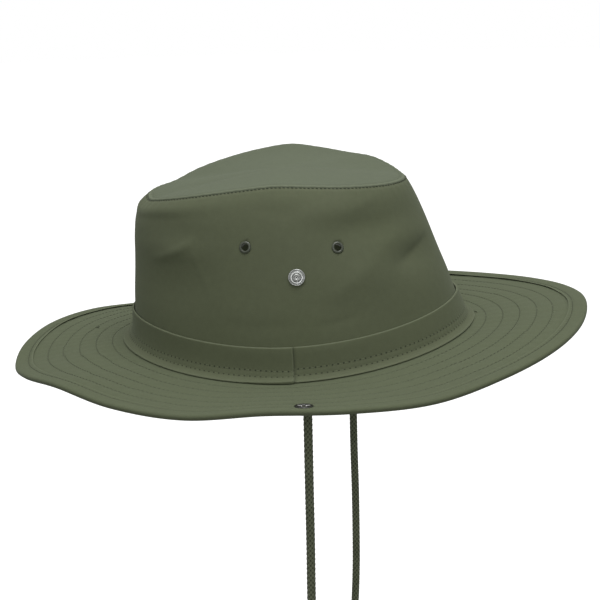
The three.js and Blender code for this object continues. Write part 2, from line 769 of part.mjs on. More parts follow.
// Everything so far is turned by the pitch; the cord hangs straight down from it
const pitch = new THREE.Matrix4().makeRotationX(rad(PITCH_DEG));
const startLeft = tabLeft.foot.clone().applyMatrix4(pitch);
const startRight = tabRight.foot.clone().applyMatrix4(pitch);
startLeft.z -= GAP + 0.15;
startRight.z -= GAP + 0.15;

// Chin cord: one smooth loop from tab to tab
const loopPoints = CORD_ROUTE.map((at) => vec(at.x, at.y, at.z));
const loopCurve = new THREE.CatmullRomCurve3([startLeft, ...loopPoints, startRight], false, 'centripetal');
const cordShape = new THREE.Shape(
  Array.from({ length: CORD_SIDES }, (_, i) => {
    const a = ((i + 0.5) / CORD_SIDES) * TAU;
    const r = CORD_DIAMETER / 2;
    return new THREE.Vector2(r * Math.cos(a), r * Math.sin(a));
  }),
);
const cord = new THREE.ExtrudeGeometry(cordShape, {
  steps: CORD_STEPS,
  extrudePath: loopCurve,
  bevelEnabled: false,
});

// Assembly
const cloth = { color: 0x5c6347, roughness: 0.85, metalness: 0 };
const darkCloth = { color: 0x4c5239, roughness: 0.85, metalness: 0 };
const greenMetal = { color: 0x2c3426, roughness: 0.5, metalness: 0.4 };
const silver = { color: 0xb9bbb8, roughness: 0.3, metalness: 0.9 };
const cordCloth = { color: 0x3b4230, roughness: 0.9, metalness: 0 };

const hat = new THREE.Group();
hat.name = 'bush_hat';
function add(name, geometry, look, turn = true) {
  const g = geometry.index ? geometry.toNonIndexed() : geometry.clone();
  for (const key of Object.keys(g.attributes)) if (key !== 'position') g.deleteAttribute(key);
  if (turn) g.applyMatrix4(pitch);
  const merged = mergeVertices(g, 1e-4);
  merged.computeVertexNormals();
  const mesh = new THREE.Mesh(merged, new THREE.MeshStandardMaterial(look));
  mesh.name = name;
  hat.add(mesh);
}

add('crown_side', wall, cloth);
add('crown_tip', tip, cloth);
add('hat_band', band, darkCloth);
add('brim', brim, cloth);
add('brim_binding', hem, cloth);
for (const eyelet of eyelets) add(eyelet.name, eyelet.geometry, greenMetal);
add('crown_stud', stud, silver);
add('brim_snap_socket', snapSocket, silver);
add('brim_snap_cap', snapCap, silver);
add('cord_tab_left', tabLeft.geometry, darkCloth);
add('cord_tab_right', tabRight.geometry, darkCloth);
add('chin_cord', cord, cordCloth, false);

export default hat;
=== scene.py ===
# Looks of the bush hat: stitched cotton cloth, metal fittings and a braided chin cord.
# Sizes are in millimetres, as the solids are drawn, and MM turns them into metres.
# Round the hat, phi is 0 at the front (-Y) and turns over the wearer's left (+X).
import math

import bpy
import numpy as np
from mathutils import Matrix, Vector


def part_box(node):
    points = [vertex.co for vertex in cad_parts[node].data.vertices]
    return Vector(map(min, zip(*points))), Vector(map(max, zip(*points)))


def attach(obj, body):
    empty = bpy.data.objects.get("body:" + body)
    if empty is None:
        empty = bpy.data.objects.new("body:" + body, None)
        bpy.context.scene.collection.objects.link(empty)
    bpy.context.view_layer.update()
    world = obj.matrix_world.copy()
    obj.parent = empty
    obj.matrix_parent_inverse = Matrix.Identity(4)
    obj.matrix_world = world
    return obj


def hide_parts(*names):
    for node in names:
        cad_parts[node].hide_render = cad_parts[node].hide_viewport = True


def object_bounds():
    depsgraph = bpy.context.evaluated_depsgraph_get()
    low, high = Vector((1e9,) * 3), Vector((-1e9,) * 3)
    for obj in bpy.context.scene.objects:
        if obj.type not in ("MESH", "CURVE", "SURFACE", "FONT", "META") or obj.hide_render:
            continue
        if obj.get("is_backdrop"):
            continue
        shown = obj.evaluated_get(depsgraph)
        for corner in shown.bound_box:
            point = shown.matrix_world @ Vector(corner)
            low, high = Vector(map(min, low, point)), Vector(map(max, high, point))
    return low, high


MM = 0.001
TAU = 2 * math.pi
PITCH = math.radians(3)
SEED = 11

# Crown and brim sizes, as the solids have them. In an oval, EGG narrows the front and LEAN
# below or over 1 squares or points its corners.
GAP = 0.3
CLOTH = 1.4
BASE_FRONT, BASE_REAR, BASE_SIDE, BASE_EGG, BASE_LEAN = 104, 108.5, 88, 0.06, 1.05
TIP_FRONT, TIP_REAR, TIP_SIDE, TIP_EGG = 86.5, 75, 52, 0.03
CROWN_HEIGHT = 103
TIP_MIDDLE = 106
TIP_CURVE = 1.3
TIP_ROLL, TIP_ROLL_RIGHT = 0.5, 2.4
ARCH = 4.3
BRIM_FRONT, BRIM_REAR, BRIM_SIDE, BRIM_EGG, BRIM_LEAN = 180.2, 182, 163.3, 0.03, 1.026
BRIM_THICK = 1.6
BRIM_DISH = 1.12
BRIM_WAVE = 10
ROOT_RISE, ROOT_FRONT, ROOT_REAR = 6.5, 7.8, 5
HEM_WIDTH, HEM_THICK = 9.6, 0.6
BAND_FRONT, BAND_REAR, BAND_THICK = 20.6, 18.9, 1.2
BAND_SEAT, BAND_EASE = 1.6, 0.1
FLANGE_REACH = 0.92
JOIN, JOIN_LAP, JOIN_STEP = math.radians(94.8), math.radians(16), 0.9
JOIN_FOLD = (-0.012, -0.006, -0.003, 0.0005, 0.004)
DENT = 3

# Stitching
PITCH_LENGTH = 3.3
THREAD_RADIUS = 0.16
STITCH_LOW, STITCH_HIGH, BAND_STITCH_HIGH = 0.25, 0.16, 0.05
HEM_ROW = 8.7
BRIM_FIRST_ROW, BRIM_ROW_STEP, BRIM_ROW_COUNT = 20.5, 10.45, 5
BRIM_ROWS = [BRIM_FIRST_ROW + BRIM_ROW_STEP * k for k in range(BRIM_ROW_COUNT)]
BAND_LOW_ROW, BAND_HIGH_ROW = 6.2, 10.4
TIP_SEAM_ROW, TIP_SEAM_PITCH, TIP_SEAM_RADIUS, TIP_SEAM_SLANT = 0.9, 2.4, 0.23, 0.16
SEAM_FOLD, SEAM_SINK = 1.0, 0.35
NEEDLE_HOLE, BAND_NEEDLE_HOLE = 0.42, 0.7

# How deep a row draws its cloth in over what half width, and how far the cloth puffs between
BRIM_CHANNEL, BRIM_CHANNEL_WIDTH, BRIM_PUFF = 0.16, 0.8, 0.08
BAND_CHANNEL, BAND_CHANNEL_WIDTH, BAND_PUFF, BAND_PUFF_WIDTH = 0.12, 0.7, 0.1, 1.2
HEM_CHANNEL, HEM_CHANNEL_WIDTH, HEM_PUCKER, HEM_PUCKER_WIDTH, HEM_PUCKERS = 0.3, 0.8, 0.12, 2.0, 180

# Ridge and valley of the tip beside its seam: rise, distance in and half width
TIP_RIDGE, TIP_RIDGE_AT, TIP_RIDGE_WIDTH = 0.55, 1.5, 0.85
TIP_VALLEY, TIP_VALLEY_AT, TIP_VALLEY_WIDTH = 0.35, 3.6, 0.9

# Loose cloth: wide and fine unevenness, and gathers with their number round the hat
WALL_LOOSE, WALL_FINE, WALL_GATHER, WALL_GATHERS = 0.16, 0.07, 0.16, 64
TIP_LOOSE, TIP_GATHER, TIP_GATHERS = 0.32, 0.12, 70
BAND_LOOSE, BAND_TOP_WAVE = 0.22, 0.3
BRIM_LOOSE, BRIM_TUG, BRIM_TUGS = 0.3, 0.05, 90
HEM_LOOSE = 0.08

# Dents and creases fade out over these distances from the hat's middle line and these shares
# of the height below the seam. A crease sways by CREASE_SWAY and thins out over its ends.
DENT_FADE, CREASE_FADE, TOP_FADE = 20, 25, 0.1
CREASE_SWAY, CREASE_SWAY_LENGTH = 1.2, 9.0
CREASE_PAST, CREASE_WITHIN = 6, 8

# How far the hem's free edge stands open on the right: evenly, in waves and in fine waves
HEM_OPEN, HEM_OPEN_WAVE, HEM_OPEN_FINE = 0.56, 0.26, 0.1
HEM_WANDER, HEM_WANDER_FINE = 0.25, 0.15

# Where the brim has been pressed flat in use, and how far its stitches sink there
PRESSED_AT, PRESSED_WIDE = math.radians(95), math.radians(38)
BRIM_PRESSED, HEM_PRESSED = 0.17, 0.22

# Where the hem's stitches pucker most
PUCKERED_AT = math.radians(38)

# Rounding of the cut edges at the tip seam, and the thinnest that the cloth gets there
WALL_EDGE, TIP_EDGE, THINNEST = 0.7, 0.8, 0.3

# Stations round the hat for each piece of cloth, and the brim's even steps in from its edge
WALL_STATIONS, TIP_STATIONS, BAND_STATIONS, BRIM_STATIONS, HEM_STATIONS = 480, 480, 420, 540, 600
BRIM_EVEN, BRIM_STEP, BRIM_FIRST_STEP = 63.2, 1.05, 0.35
BAND_ROUNDS, CORD_ROUNDS = 5, 8

# Fittings
VENT_RADIUS, VENT_BORE, VENT_HOLE = 3.65, 2.0, 2.9
STUD_RADIUS, STUD_POST = 5.0, 1.9
SNAP_RADIUS, SNAP_BORE, SNAP_BACK, SNAP_INSET, CAP_RADIUS = 5.2, 2.6, 22.5, 9, 5.4
WIRE_RADIUS, WIRE_HALF, WIRE_OUT, WIRE_UP = 0.4, 1.7, 2.1, 0.35
RIVET_RADIUS = 1.5
AXIS_RADIUS = 0.02

# How a fitting presses the wall flat: reach as a share of its radius, depth, and share of the
# wall's own shape that goes. FITTING_REACH tells the near wall from the far one.
PRESS_REACH, PRESS_DEPTH, PRESS_FLAT = 1.25, 0.28, 0.85
FITTING_REACH = 12

# Chin cord
CORD_DIAMETER = 5
BRAID_TURN = 20.0
BRAID_STRANDS = 6
BRAID_DEEP, BRAID_RISE = 0.4, 0.7
CORD_STEP, CORD_SIDES = 0.42, 48
CORD_PATH_ROWS = 300
CORD_MEETS_TAB = 0.45

# Cloth tabs: share of the solid's width, squareness, and how far the ends and the waist draw in
TAB_FILL, TAB_SQUARE, TAB_END, TAB_WAIST = 0.96, 0.45, 0.55, 0.12

# Route of the chin cord between its tabs in metres, as the solids have it
CORD_ROUTE = [
    (0.0802, 0.0143, -0.018),
    (0.0802, 0.0142, -0.048),
    (0.08, 0.0141, -0.078),
    (0.0794, 0.014, -0.108),
    (0.078, 0.0136, -0.138),
    (0.0753, 0.0132, -0.168),
    (0.07, 0.0132, -0.198),
    (0.0605, 0.014, -0.226),
    (0.045, 0.016, -0.249),
    (0.0245, 0.019, -0.264),
    (0.0015, 0.0225, -0.269),
    (-0.0215, 0.0258, -0.264),
    (-0.042, 0.0285, -0.249),
    (-0.0575, 0.0304, -0.226),
    (-0.067, 0.0313, -0.198),
    (-0.0722, 0.0313, -0.168),
    (-0.075, 0.031, -0.138),
    (-0.0764, 0.0304, -0.108),
    (-0.077, 0.0302, -0.078),
    (-0.0771, 0.03, -0.048),
    (-0.0771, 0.0297, -0.018),
]

# Wall profile: share of the height, and share of the way in to the tip seam
WALL_UP = [0.0, 0.11, 0.22, 0.34, 0.48, 0.62, 0.76, 0.88, 0.955, 1.0]
WALL_IN = {
    "front": [0.0, 0.065, 0.125, 0.18, 0.26, 0.335, 0.41, 0.52, 0.68, 1.0],
    "side": [0.0, 0.06, 0.125, 0.21, 0.33, 0.46, 0.6, 0.75, 0.88, 1.0],
    "rear": [0.0, 0.11, 0.215, 0.315, 0.45, 0.58, 0.71, 0.835, 0.93, 1.0],
}

# Every 15 degrees from the front: brim edge height and tip seam height, as shares
EDGE_SHARES = [-0.09, -0.27, 0.24, 0.69, 0.26, 0.05, 0.37, 0.14, -0.06, 0.33, 0.67, 0.94]
EDGE_SHARES += [1.18, 0.9, 0.5, 0.14, -0.08, -0.13, -0.15, -0.4, -0.92, -0.6, -0.05, 0.12]
SEAM_SHARES = [0.922, 0.905, 0.918, 0.938, 0.962, 0.985, 1.0, 0.985, 0.964, 0.947, 0.934, 0.928]
SEAM_SHARES += [0.928, 0.93, 0.96, 0.998, 1.018, 1.05, 1.08, 1.062, 1.03, 0.988, 0.94, 0.93]

# Turned-up root of the brim: share of the way out, and share of its rise there
ROOT_SHARE = [0.0, 0.08, 0.27, 0.56, 1.0]
ROOT_HEIGHT = [1.0, 0.64, 0.33, 0.12, 0.06]

# Dents: side, along, up, long, tall as shares, and depth as a share of DENT
DENTS = [
    (1, -0.6, 0.47, 0.2, 0.15, 0.6),
    (1, -0.64, 0.8, 0.18, 0.1, 0.5),
    (1, -0.56, 0.66, 0.14, 0.06, -0.35),
    (1, 0.5, 0.74, 0.2, 0.09, 0.8),
    (1, 0.28, 0.86, 0.14, 0.07, -0.35),
    (1, 0.72, 0.53, 0.1, 0.08, 0.85),
    (1, 0.46, 0.48, 0.2, 0.12, -0.45),
    (-1, -0.35, 0.7, 0.22, 0.13, 0.7),
    (-1, 0.4, 0.6, 0.22, 0.15, 0.6),
]

# Creases: side, from (along, up) to (along, up), half width and rise in mm
CREASES = [
    (1, -0.72, 0.6, -0.46, 0.72, 2.6, 0.8),
    (1, -0.47, 0.68, -0.36, 0.4, 2.2, 0.22),
    (1, 0.28, 0.39, 0.65, 0.67, 5.0, 0.45),
    (1, 0.66, 0.5, 0.82, 0.63, 2.6, -0.6),
    (1, 0.22, 0.25, 0.42, 0.29, 2.6, -0.3),
    (1, -0.3, 0.28, 0.1, 0.25, 4.0, -0.22),
    (1, 0.36, 0.84, 0.6, 0.93, 3.5, 0.3),
    (1, -0.1, 0.9, 0.14, 0.86, 4.0, -0.25),
    (-1, -0.5, 0.45, -0.2, 0.6, 4.0, 0.4),
    (-1, 0.2, 0.5, 0.55, 0.7, 3.5, -0.5),
    (-1, 0.0, 0.3, 0.35, 0.35, 4.5, 0.35),
]

# Vents and stud: side, and place along and up as shares
VENTS = {
    "left_front": (1, -0.162, 0.693),
    "left_rear": (1, 0.33, 0.657),
    "right_front": (-1, -0.162, 0.71),
    "right_rear": (-1, 0.33, 0.68),
}
STUD_PLACE = (1, 0.11, 0.521)

# Loose thread ends: phi, distance in from the edge, heading, length, height in mm
TACKS = [(351.2, 42.7, 80, 3.0, 0.9), (350.6, 43.6, 10, 1.8, 0.9), (186.0, 66.5, 25, 4.2, 0.5)]

# Camera: the photograph's place and aim
CAMERA_PLACE = (0.8041, 0.0901, 0.2393)
CAMERA_AZIMUTH, CAMERA_ELEVATION, CAMERA_ROLL = 96.205, 15.115, -1.472
CAMERA_LENS, CAMERA_SENSOR = 79.18, 36
FLOOR_Z, FLOOR_RADIUS = -0.3, 6
SKY_LOW, SKY_HIGH = 0.12, 0.55

# Lights: place in metres, size and power
KEY = ((0.15, 0.15, 1.5), 1.0, 12)
FILL = ((1.8, 0.15, 0.6), 1.0, 6)
LIT = (0, 0, 0.03)

# Colours, linear
WALL_OLIVE = (0.108, 0.124, 0.069)
# The tip's cloth is a lighter, greyer copy of the wall's: painted light on the tip, which faces up.
LIT_TIP_OLIVE = (0.122, 0.143, 0.092)
BRIM_OLIVE = (0.108, 0.127, 0.070)
# The pale colour below is painted highlight and wear on cloth edges; the deep one is painted shade.
WEAR_HIGHLIGHT_OLIVE = (0.27, 0.30, 0.20)
SHADE_OLIVE = (0.012, 0.015, 0.008)
THREAD_OLIVE = (0.05, 0.06, 0.033)
# Near-black seam thread: painted shade in the groove of the tip seam. The loose thread ends use it too.
SEAM_OLIVE = (0.022, 0.027, 0.014)
CORD_OLIVE = (0.2, 0.226, 0.14)
# The first of these is painted shade in the grooves between the braid's strands.
CORD_GROOVE_SHADE, CORD_FIBRE, CORD_WORN = (0.014, 0.018, 0.009), (0.11, 0.125, 0.075), (0.55, 0.55, 0.5)
STEEL_BRIGHT, STEEL_DULL = (0.5, 0.51, 0.5), (0.34, 0.35, 0.33)
WIRE_BRIGHT = (0.9, 0.9, 0.88)
GUNMETAL = (0.1, 0.1, 0.095)
ENAMEL_GREEN, ENAMEL_WORN = (0.062, 0.072, 0.048), (0.26, 0.28, 0.23)
SHEEN_GREEN = (0.8, 0.9, 0.7)
DYE_PATCHES = 0.12
FLOOR_GREY = (0.35, 0.35, 0.35)

rng = np.random.default_rng(SEED)


def cubic(t, start, leave, end, arrive):
    """Smooth way from one value to the next, with a slope at each of them."""
    t2, t3 = t * t, t * t * t
    return (
        start * (2 * t3 - 3 * t2 + 1)
        + leave * (t3 - 2 * t2 + t)
        + end * (3 * t2 - 2 * t3)
        + arrive * (t3 - t2)
    )


def periodic(values, phi):
    """Smooth value of a column that is spread evenly round the hat."""
    v = np.asarray(values, float)
    n = len(v)
    u = np.mod(phi / TAU, 1.0) * n
    i = np.floor(u).astype(int)
    a, b, c, d = (v[(i + k) % n] for k in (-1, 0, 1, 2))
    return cubic(u - i, b, (c - a) / 2, c, (d - b) / 2)


def curve(xs, ys, x):
    """Smooth curve through the rows of a table."""
    xs, ys = np.asarray(xs, float), np.asarray(ys, float)
    slope = np.gradient(ys, xs)
    i = np.clip(np.searchsorted(xs, x, side="right") - 1, 0, len(xs) - 2)
    h = xs[i + 1] - xs[i]
    t = np.clip((x - xs[i]) / h, 0, 1)
    return cubic(t, ys[i], slope[i] * h, ys[i + 1], slope[i + 1] * h)


def smoothstep(low, high, x):
    t = np.clip((x - low) / (high - low), 0, 1)
    return t * t * (3 - 2 * t)


def mound(distance, width):
    """Bell that is 1 on a line and a third of that one width away."""
    return np.exp(-((distance / width) ** 2))


def stack(x, y, z):
    return np.stack(np.broadcast_arrays(x, y, z), -1)


def unit(v):
    return v / np.maximum(np.linalg.norm(v, axis=-1, keepdims=True), 1e-9)


def oval(phi, front, rear, side, egg, lean):
    c, s = np.cos(phi), np.sin(phi)
    bent_c = np.sign(c) * np.abs(c) ** lean
    bent_s = np.sign(s) * np.abs(s) ** lean
    length = np.where(bent_c > 0, front, rear)
    return stack(side * bent_s * (1 - egg * c), -length * bent_c, 0.0)


def base_oval(phi):
    return oval(phi, BASE_FRONT, BASE_REAR, BASE_SIDE, BASE_EGG, BASE_LEAN)


def tip_oval(phi):
    return oval(phi, TIP_FRONT, TIP_REAR, TIP_SIDE, TIP_EGG, 1)


def brim_oval(phi, grow=0.0):
    return oval(phi, BRIM_FRONT + grow, BRIM_REAR + grow, BRIM_SIDE + grow, BRIM_EGG, BRIM_LEAN)


def plan_normal(phi, outline):
    d = outline(phi + 0.01) - outline(phi - 0.01)
    return unit(stack(d[..., 1], -d[..., 0], 0.0))


def arch_at(phi):
    return ARCH * np.cos(2 * phi)


def edge_at(phi):
    return BRIM_WAVE * periodic(EDGE_SHARES, phi)


def seam_at(phi):
    return CROWN_HEIGHT * periodic(SEAM_SHARES, phi)


def front_to_rear(phi, front, rear):
    return rear + (front - rear) * (1 + np.cos(phi)) / 2


def up_for(phi, height):
    return height / (seam_at(phi) - arch_at(phi))


def crease_push(y, z):
    """Rise of each crease at a place on the wall, for both sides."""
    total = {1: 0.0, -1: 0.0}
    for side, along0, up0, along1, up1, width, high in CREASES:
        a = np.array([along0 * BASE_REAR, up0 * CROWN_HEIGHT])
        d = np.array([along1 * BASE_REAR, up1 * CROWN_HEIGHT]) - a
        length = np.hypot(*d)
        d = d / length
        s = (y - a[0]) * d[0] + (z - a[1]) * d[1]
        sway = CREASE_SWAY * np.sin(s / CREASE_SWAY_LENGTH)
        off = (y - a[0]) * -d[1] + (z - a[1]) * d[0] + sway
        start = smoothstep(-CREASE_PAST, CREASE_WITHIN, s)
        ends = start * smoothstep(length + CREASE_PAST, length - CREASE_WITHIN, s)
        total[side] = total[side] + high * ends * mound(off, width)
    return total


def wall_point(phi, up):
    """Outer face of the wall at a share of its height."""
    c = np.cos(phi)
    front = np.where(c > 0, c * c, 0)
    rear = np.where(c < 0, c * c, 0)
    inset = (
        front * curve(WALL_UP, WALL_IN["front"], up)
        + (1 - front - rear) * curve(WALL_UP, WALL_IN["side"], up)
        + rear * curve(WALL_UP, WALL_IN["rear"], up)
    )
    base, tip = base_oval(phi), tip_oval(phi)
    p = base + (tip - base) * inset[..., None]
    p[..., 2] = arch_at(phi) + (seam_at(phi) - arch_at(phi)) * up
    push = np.zeros_like(p[..., 0])
    for side, along, high, long, tall, deep in DENTS:
        u = (p[..., 1] / BASE_REAR - along) / long
        v = (p[..., 2] / CROWN_HEIGHT - high) / tall
        near = np.minimum(1, np.abs(p[..., 0]) / DENT_FADE) * (side * p[..., 0] > 0)
        push -= deep * DENT * np.exp(-u * u - v * v) * near
    folds = crease_push(p[..., 1], p[..., 2])
    near = np.minimum(1, np.abs(p[..., 0]) / CREASE_FADE)
    push += np.where(p[..., 0] > 0, folds[1], folds[-1]) * near
    fade = np.minimum(1, (1 - up) / TOP_FADE)
    return p + plan_normal(phi, base_oval) * (push * fade)[..., None]


def tip_point(phi, share):
    """Outer face of the tip at a share of the way from its middle to the seam."""
    p = tip_oval(phi) * share[..., None]
    roll = TIP_ROLL + TIP_ROLL_RIGHT * np.maximum(0, -np.sin(phi)) ** 1.5
    puff = 2.75 * share**6 * (1 - share**12)
    seam = seam_at(phi)
    p[..., 2] = TIP_MIDDLE + (seam - TIP_MIDDLE) * share**TIP_CURVE + roll * puff
    return p


def root_point(phi, share):
    """Turned-up root of the brim, from the wall's foot outward."""
    foot = wall_point(phi, up_for(phi, ROOT_RISE))
    reach = front_to_rear(phi, ROOT_FRONT, ROOT_REAR)
    end = base_oval(phi) + plan_normal(phi, base_oval) * reach[..., None]
    p = foot + (end - foot) * share[..., None]
    p[..., 2] = arch_at(phi) + ROOT_RISE * np.interp(share, ROOT_SHARE, ROOT_HEIGHT)
    return p


def brim_ends(phi):
    """Root and edge of the brim, and the level distance between them."""
    start = root_point(phi, np.ones_like(phi))
    end = brim_oval(phi, -(HEM_THICK + GAP))
    end[..., 2] = edge_at(phi) + BRIM_THICK / 2
    return start, end, np.linalg.norm((end - start)[..., :2], axis=-1)


def brim_point(phi, inset):
    """Top of the brim at a distance in from its own edge."""
    start, end, way = brim_ends(phi)
    share = 1 - inset / way
    p = start + (end - start) * share[..., None]
    p[..., 2] = start[..., 2] + (end - start)[..., 2] * np.maximum(share, 0) ** BRIM_DISH
    return p


def brim_frame(phi, inset):
    """A place on the brim's top, and its directions on round the brim, inward and up."""
    angle, depth = np.array([phi]), np.array([inset])
    spot = brim_point(angle, depth)[0]
    ahead = unit(brim_point(angle + 0.01, depth)[0] - spot)
    inward = unit(brim_point(angle, depth + 1)[0] - spot)
    normal = unit(np.cross(inward, ahead))
    return spot, ahead, inward, normal if normal[2] > 0 else -normal


def stations(count, extra=()):
    """Angles round the hat that start and end at the rear, with some more of them."""
    phi = math.pi + TAU * np.arange(count) / count
    more = np.array([a if a > math.pi else a + TAU for a in extra])
    return np.sort(np.concatenate([phi, more]))


def grid_normals(p, flip=False):
    """Normals of a grid [around][row] that closes on itself."""
    along = np.roll(p, -1, 0) - np.roll(p, 1, 0)
    across = np.gradient(p, axis=1)
    n = unit(np.cross(along, across))
    return -n if flip else n


def length_round(line):
    """Length round a closed line to each station, with the whole way round at the end."""
    step = np.linalg.norm(np.roll(line, -1, 0) - line, axis=-1)
    return np.concatenate([[0.0], np.cumsum(step)])


def length_along(p):
    """Length along each station's line of a grid, from its first row."""
    step = np.linalg.norm(np.diff(p, axis=1), axis=-1)
    return np.concatenate([np.zeros((len(p), 1)), np.cumsum(step, 1)], 1)


def cloth_map(line, across):
    """Map of a strip of cloth: the length round one line of it, and the distance across it."""
    round_it = np.broadcast_to(length_round(line)[:, None], (len(line) + 1, across.shape[1]))
    return np.stack([round_it, np.concatenate([across, across[:1]])], -1)


def needle_map(lines, from_edge, first, step):
    """Map for rows of needle holes: each place takes its length round from the nearest row."""
    lengths = np.stack([length_round(line) for line in lines])
    across = np.concatenate([from_edge, from_edge[:1]])
    nearest = np.clip(np.round((across - first) / step), 0, len(lines) - 1).astype(int)
    round_it = lengths[nearest, np.arange(across.shape[0])[:, None]]
    return np.stack([round_it, across], -1)


def ripple(phi, t, amount, count, turns, rows):
    """Gentle unevenness of cloth, which closes on itself round the hat: a sum of count waves,
    with up to this many turns round the hat and rows across the cloth for each unit of t."""
    total = np.zeros(np.broadcast_shapes(phi.shape, t.shape))
    for _ in range(count):
        m = rng.integers(1, turns + 1)
        n = rng.uniform(-rows, rows)
        total = total + np.sin(m * phi + n * t + rng.uniform(0, TAU)) / math.sqrt(m)
    return total * amount / math.sqrt(count)


def turn_edge(distance, radius):
    """How far a folded edge of cloth rounds off at a distance from its end."""
    s = np.clip(1 - distance / radius, 0, 1)
    return radius * (1 - np.sqrt(np.maximum(0, 1 - s * s)))


def place(points, pitched=True):
    """Hat coordinates in millimetres to the row frame in metres."""
    p = np.asarray(points, float)
    if pitched:
        c, s = math.cos(PITCH), math.sin(PITCH)
        p = stack(p[..., 0], c * p[..., 1] - s * p[..., 2], s * p[..., 1] + c * p[..., 2])
    return p * MM


def add_object(name, data):
    obj = bpy.data.objects.new(name, data)
    bpy.context.scene.collection.objects.link(obj)
    return obj


def new_mesh(name, points, quads, tris=None, uvs=None, values=None):
    """Mesh from arrays. uvs holds one pair for each corner, values one number for each point."""
    quads = np.asarray(quads, int).reshape(-1, 4)
    tris = np.zeros((0, 3), int) if tris is None else np.asarray(tris, int).reshape(-1, 3)
    mesh = bpy.data.meshes.new(name)
    mesh.vertices.add(len(points))
    mesh.vertices.foreach_set("co", np.asarray(points, np.float32).ravel())
    corners = np.concatenate([quads.ravel(), tris.ravel()])
    mesh.loops.add(len(corners))
    mesh.loops.foreach_set("vertex_index", corners.astype(np.int32))
    starts = np.concatenate(
        [np.arange(len(quads)) * 4, len(quads) * 4 + np.arange(len(tris)) * 3]
    )
    mesh.polygons.add(len(starts))
    mesh.polygons.foreach_set("loop_start", starts.astype(np.int32))
    mesh.polygons.foreach_set("use_smooth", np.ones(len(starts), bool))
    for key, uv in (uvs or {}).items():
        layer = mesh.uv_layers.new(name=key)
        layer.data.foreach_set("uv", np.asarray(uv, np.float32).ravel())
    for key, value in (values or {}).items():
        made = mesh.attributes.new(key, "FLOAT", "POINT")
        made.data.foreach_set("value", np.asarray(value, np.float32).ravel())
    mesh.update(calc_edges=True)
    return add_object(name, mesh)


def shell(name, outer, inner, uvs, values, keep=None, capped=False, flip=False):
    """Closed cloth from an outer and an inner grid, with holes where keep is False.
    uvs hold pairs at [around + 1][row], values numbers at [around][row]."""
    n, m = outer.shape[:2]
    if keep is None:
        keep = np.ones((n, m - 1), bool)
    i, j = np.nonzero(keep)
    edge_low = np.concatenate([np.full((n, 1), capped), keep[:, :-1]], 1)
    edge_high = np.concatenate([keep[:, 1:], np.zeros((n, 1), bool)], 1)
    sides = [
        (np.ones_like(keep), [(0, 0, 0), (1, 0, 0), (1, 1, 0), (0, 1, 0)]),
        (np.ones_like(keep), [(0, 1, 1), (1, 1, 1), (1, 0, 1), (0, 0, 1)]),
        (~edge_low, [(1, 0, 0), (0, 0, 0), (0, 0, 1), (1, 0, 1)]),
        (~edge_high, [(0, 1, 0), (1, 1, 0), (1, 1, 1), (0, 1, 1)]),
        (~np.roll(keep, 1, 0), [(0, 0, 0), (0, 1, 0), (0, 1, 1), (0, 0, 1)]),
        (~np.roll(keep, -1, 0), [(1, 1, 0), (1, 0, 0), (1, 0, 1), (1, 1, 1)]),
    ]
    around, row, face = [], [], []
    for wanted, corners in sides:
        there = wanted[i, j]
        di, dj, ds = (np.array([c[k] for c in corners]) for k in range(3))
        around.append(i[there][:, None] + di)
        row.append(j[there][:, None] + dj)
        face.append(np.broadcast_to(ds, around[-1].shape))
    around, row, face = (np.concatenate(x) for x in (around, row, face))
    quads = face * n * m + (around % n) * m + row
    points = np.concatenate([outer.reshape(-1, 3), inner.reshape(-1, 3)])
    scores = {k: np.concatenate([v.ravel(), v.ravel()]) for k, v in values.items()}
    corner_uv = {k: uv[around, row].reshape(-1, 2) for k, uv in uvs.items()}
    tris = np.zeros((0, 3), int)
    if capped:
        middle = len(points) + np.array([0, 1])
        points = np.concatenate([points, [outer[:, 0].mean(0)], [inner[:, 0].mean(0)]])
        scores = {k: np.concatenate([v, [0.0, 0.0]]) for k, v in scores.items()}
        a = np.arange(n)
        b = (a + 1) % n
        top = np.stack([b * m, a * m, np.full(n, middle[0])], 1)
        low = np.stack([n * m + a * m, n * m + b * m, np.full(n, middle[1])], 1)
        tris = np.concatenate([top, low])
        for k, uv in uvs.items():
            centre = np.broadcast_to(uv[:n, 0].mean(0), (n, 2))
            one = np.stack([uv[a + 1, 0], uv[a, 0], centre], 1)
            two = np.stack([uv[a, 0], uv[a + 1, 0], centre], 1)
            corner_uv[k] = np.concatenate([corner_uv[k], one.reshape(-1, 2), two.reshape(-1, 2)])
    used = np.unique(np.concatenate([quads.ravel(), tris.ravel()]))
    index = np.zeros(len(points), int)
    index[used] = np.arange(len(used))
    quads, tris = index[quads], index[tris]
    if flip:
        quads, tris = quads[:, ::-1], tris[:, ::-1]
        cut = len(quads) * 4
        for k, uv in corner_uv.items():
            four = uv[:cut].reshape(-1, 4, 2)[:, ::-1].reshape(-1, 2)
            three = uv[cut:].reshape(-1, 3, 2)[:, ::-1].reshape(-1, 2)
            corner_uv[k] = np.concatenate([four, three])
    scores = {k: v[used] for k, v in scores.items()}
    return new_mesh(name, place(points[used]), quads, tris, corner_uv, scores)


def finish_piece(obj, material, slot, *nodes):
    """Material and body of a piece, and the solids that it stands in for. slot is not used."""
    obj.data.materials.append(material)
    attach(obj, "root")
    if nodes:
        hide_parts(*nodes)
    return obj


def net(rings, sides, closed_rings=True, closed_sides=True, flip=False):
    """Faces between the points of a grid that is given as [ring][side]."""
    rows = np.arange(rings if closed_rings else rings - 1)
    columns = np.arange(sides if closed_sides else sides - 1)
    i, j = np.meshgrid(rows, columns, indexing="ij")
    a, b = i * sides, ((i + 1) % rings) * sides
    k = (j + 1) % sides
    quads = np.stack([a + j, a + k, b + k, b + j], -1).reshape(-1, 4)
    return quads[:, [0, 3, 2, 1]] if flip else quads


def fan(middle, ring, flip=False):
    """Faces from one middle point to a closed ring of points."""
    after = np.roll(ring, -1)
    pair = (after, ring) if flip else (ring, after)
    return np.stack([np.full(len(ring), middle), *pair], 1)


def round_turn(sides):
    return TAU * np.arange(sides) / sides


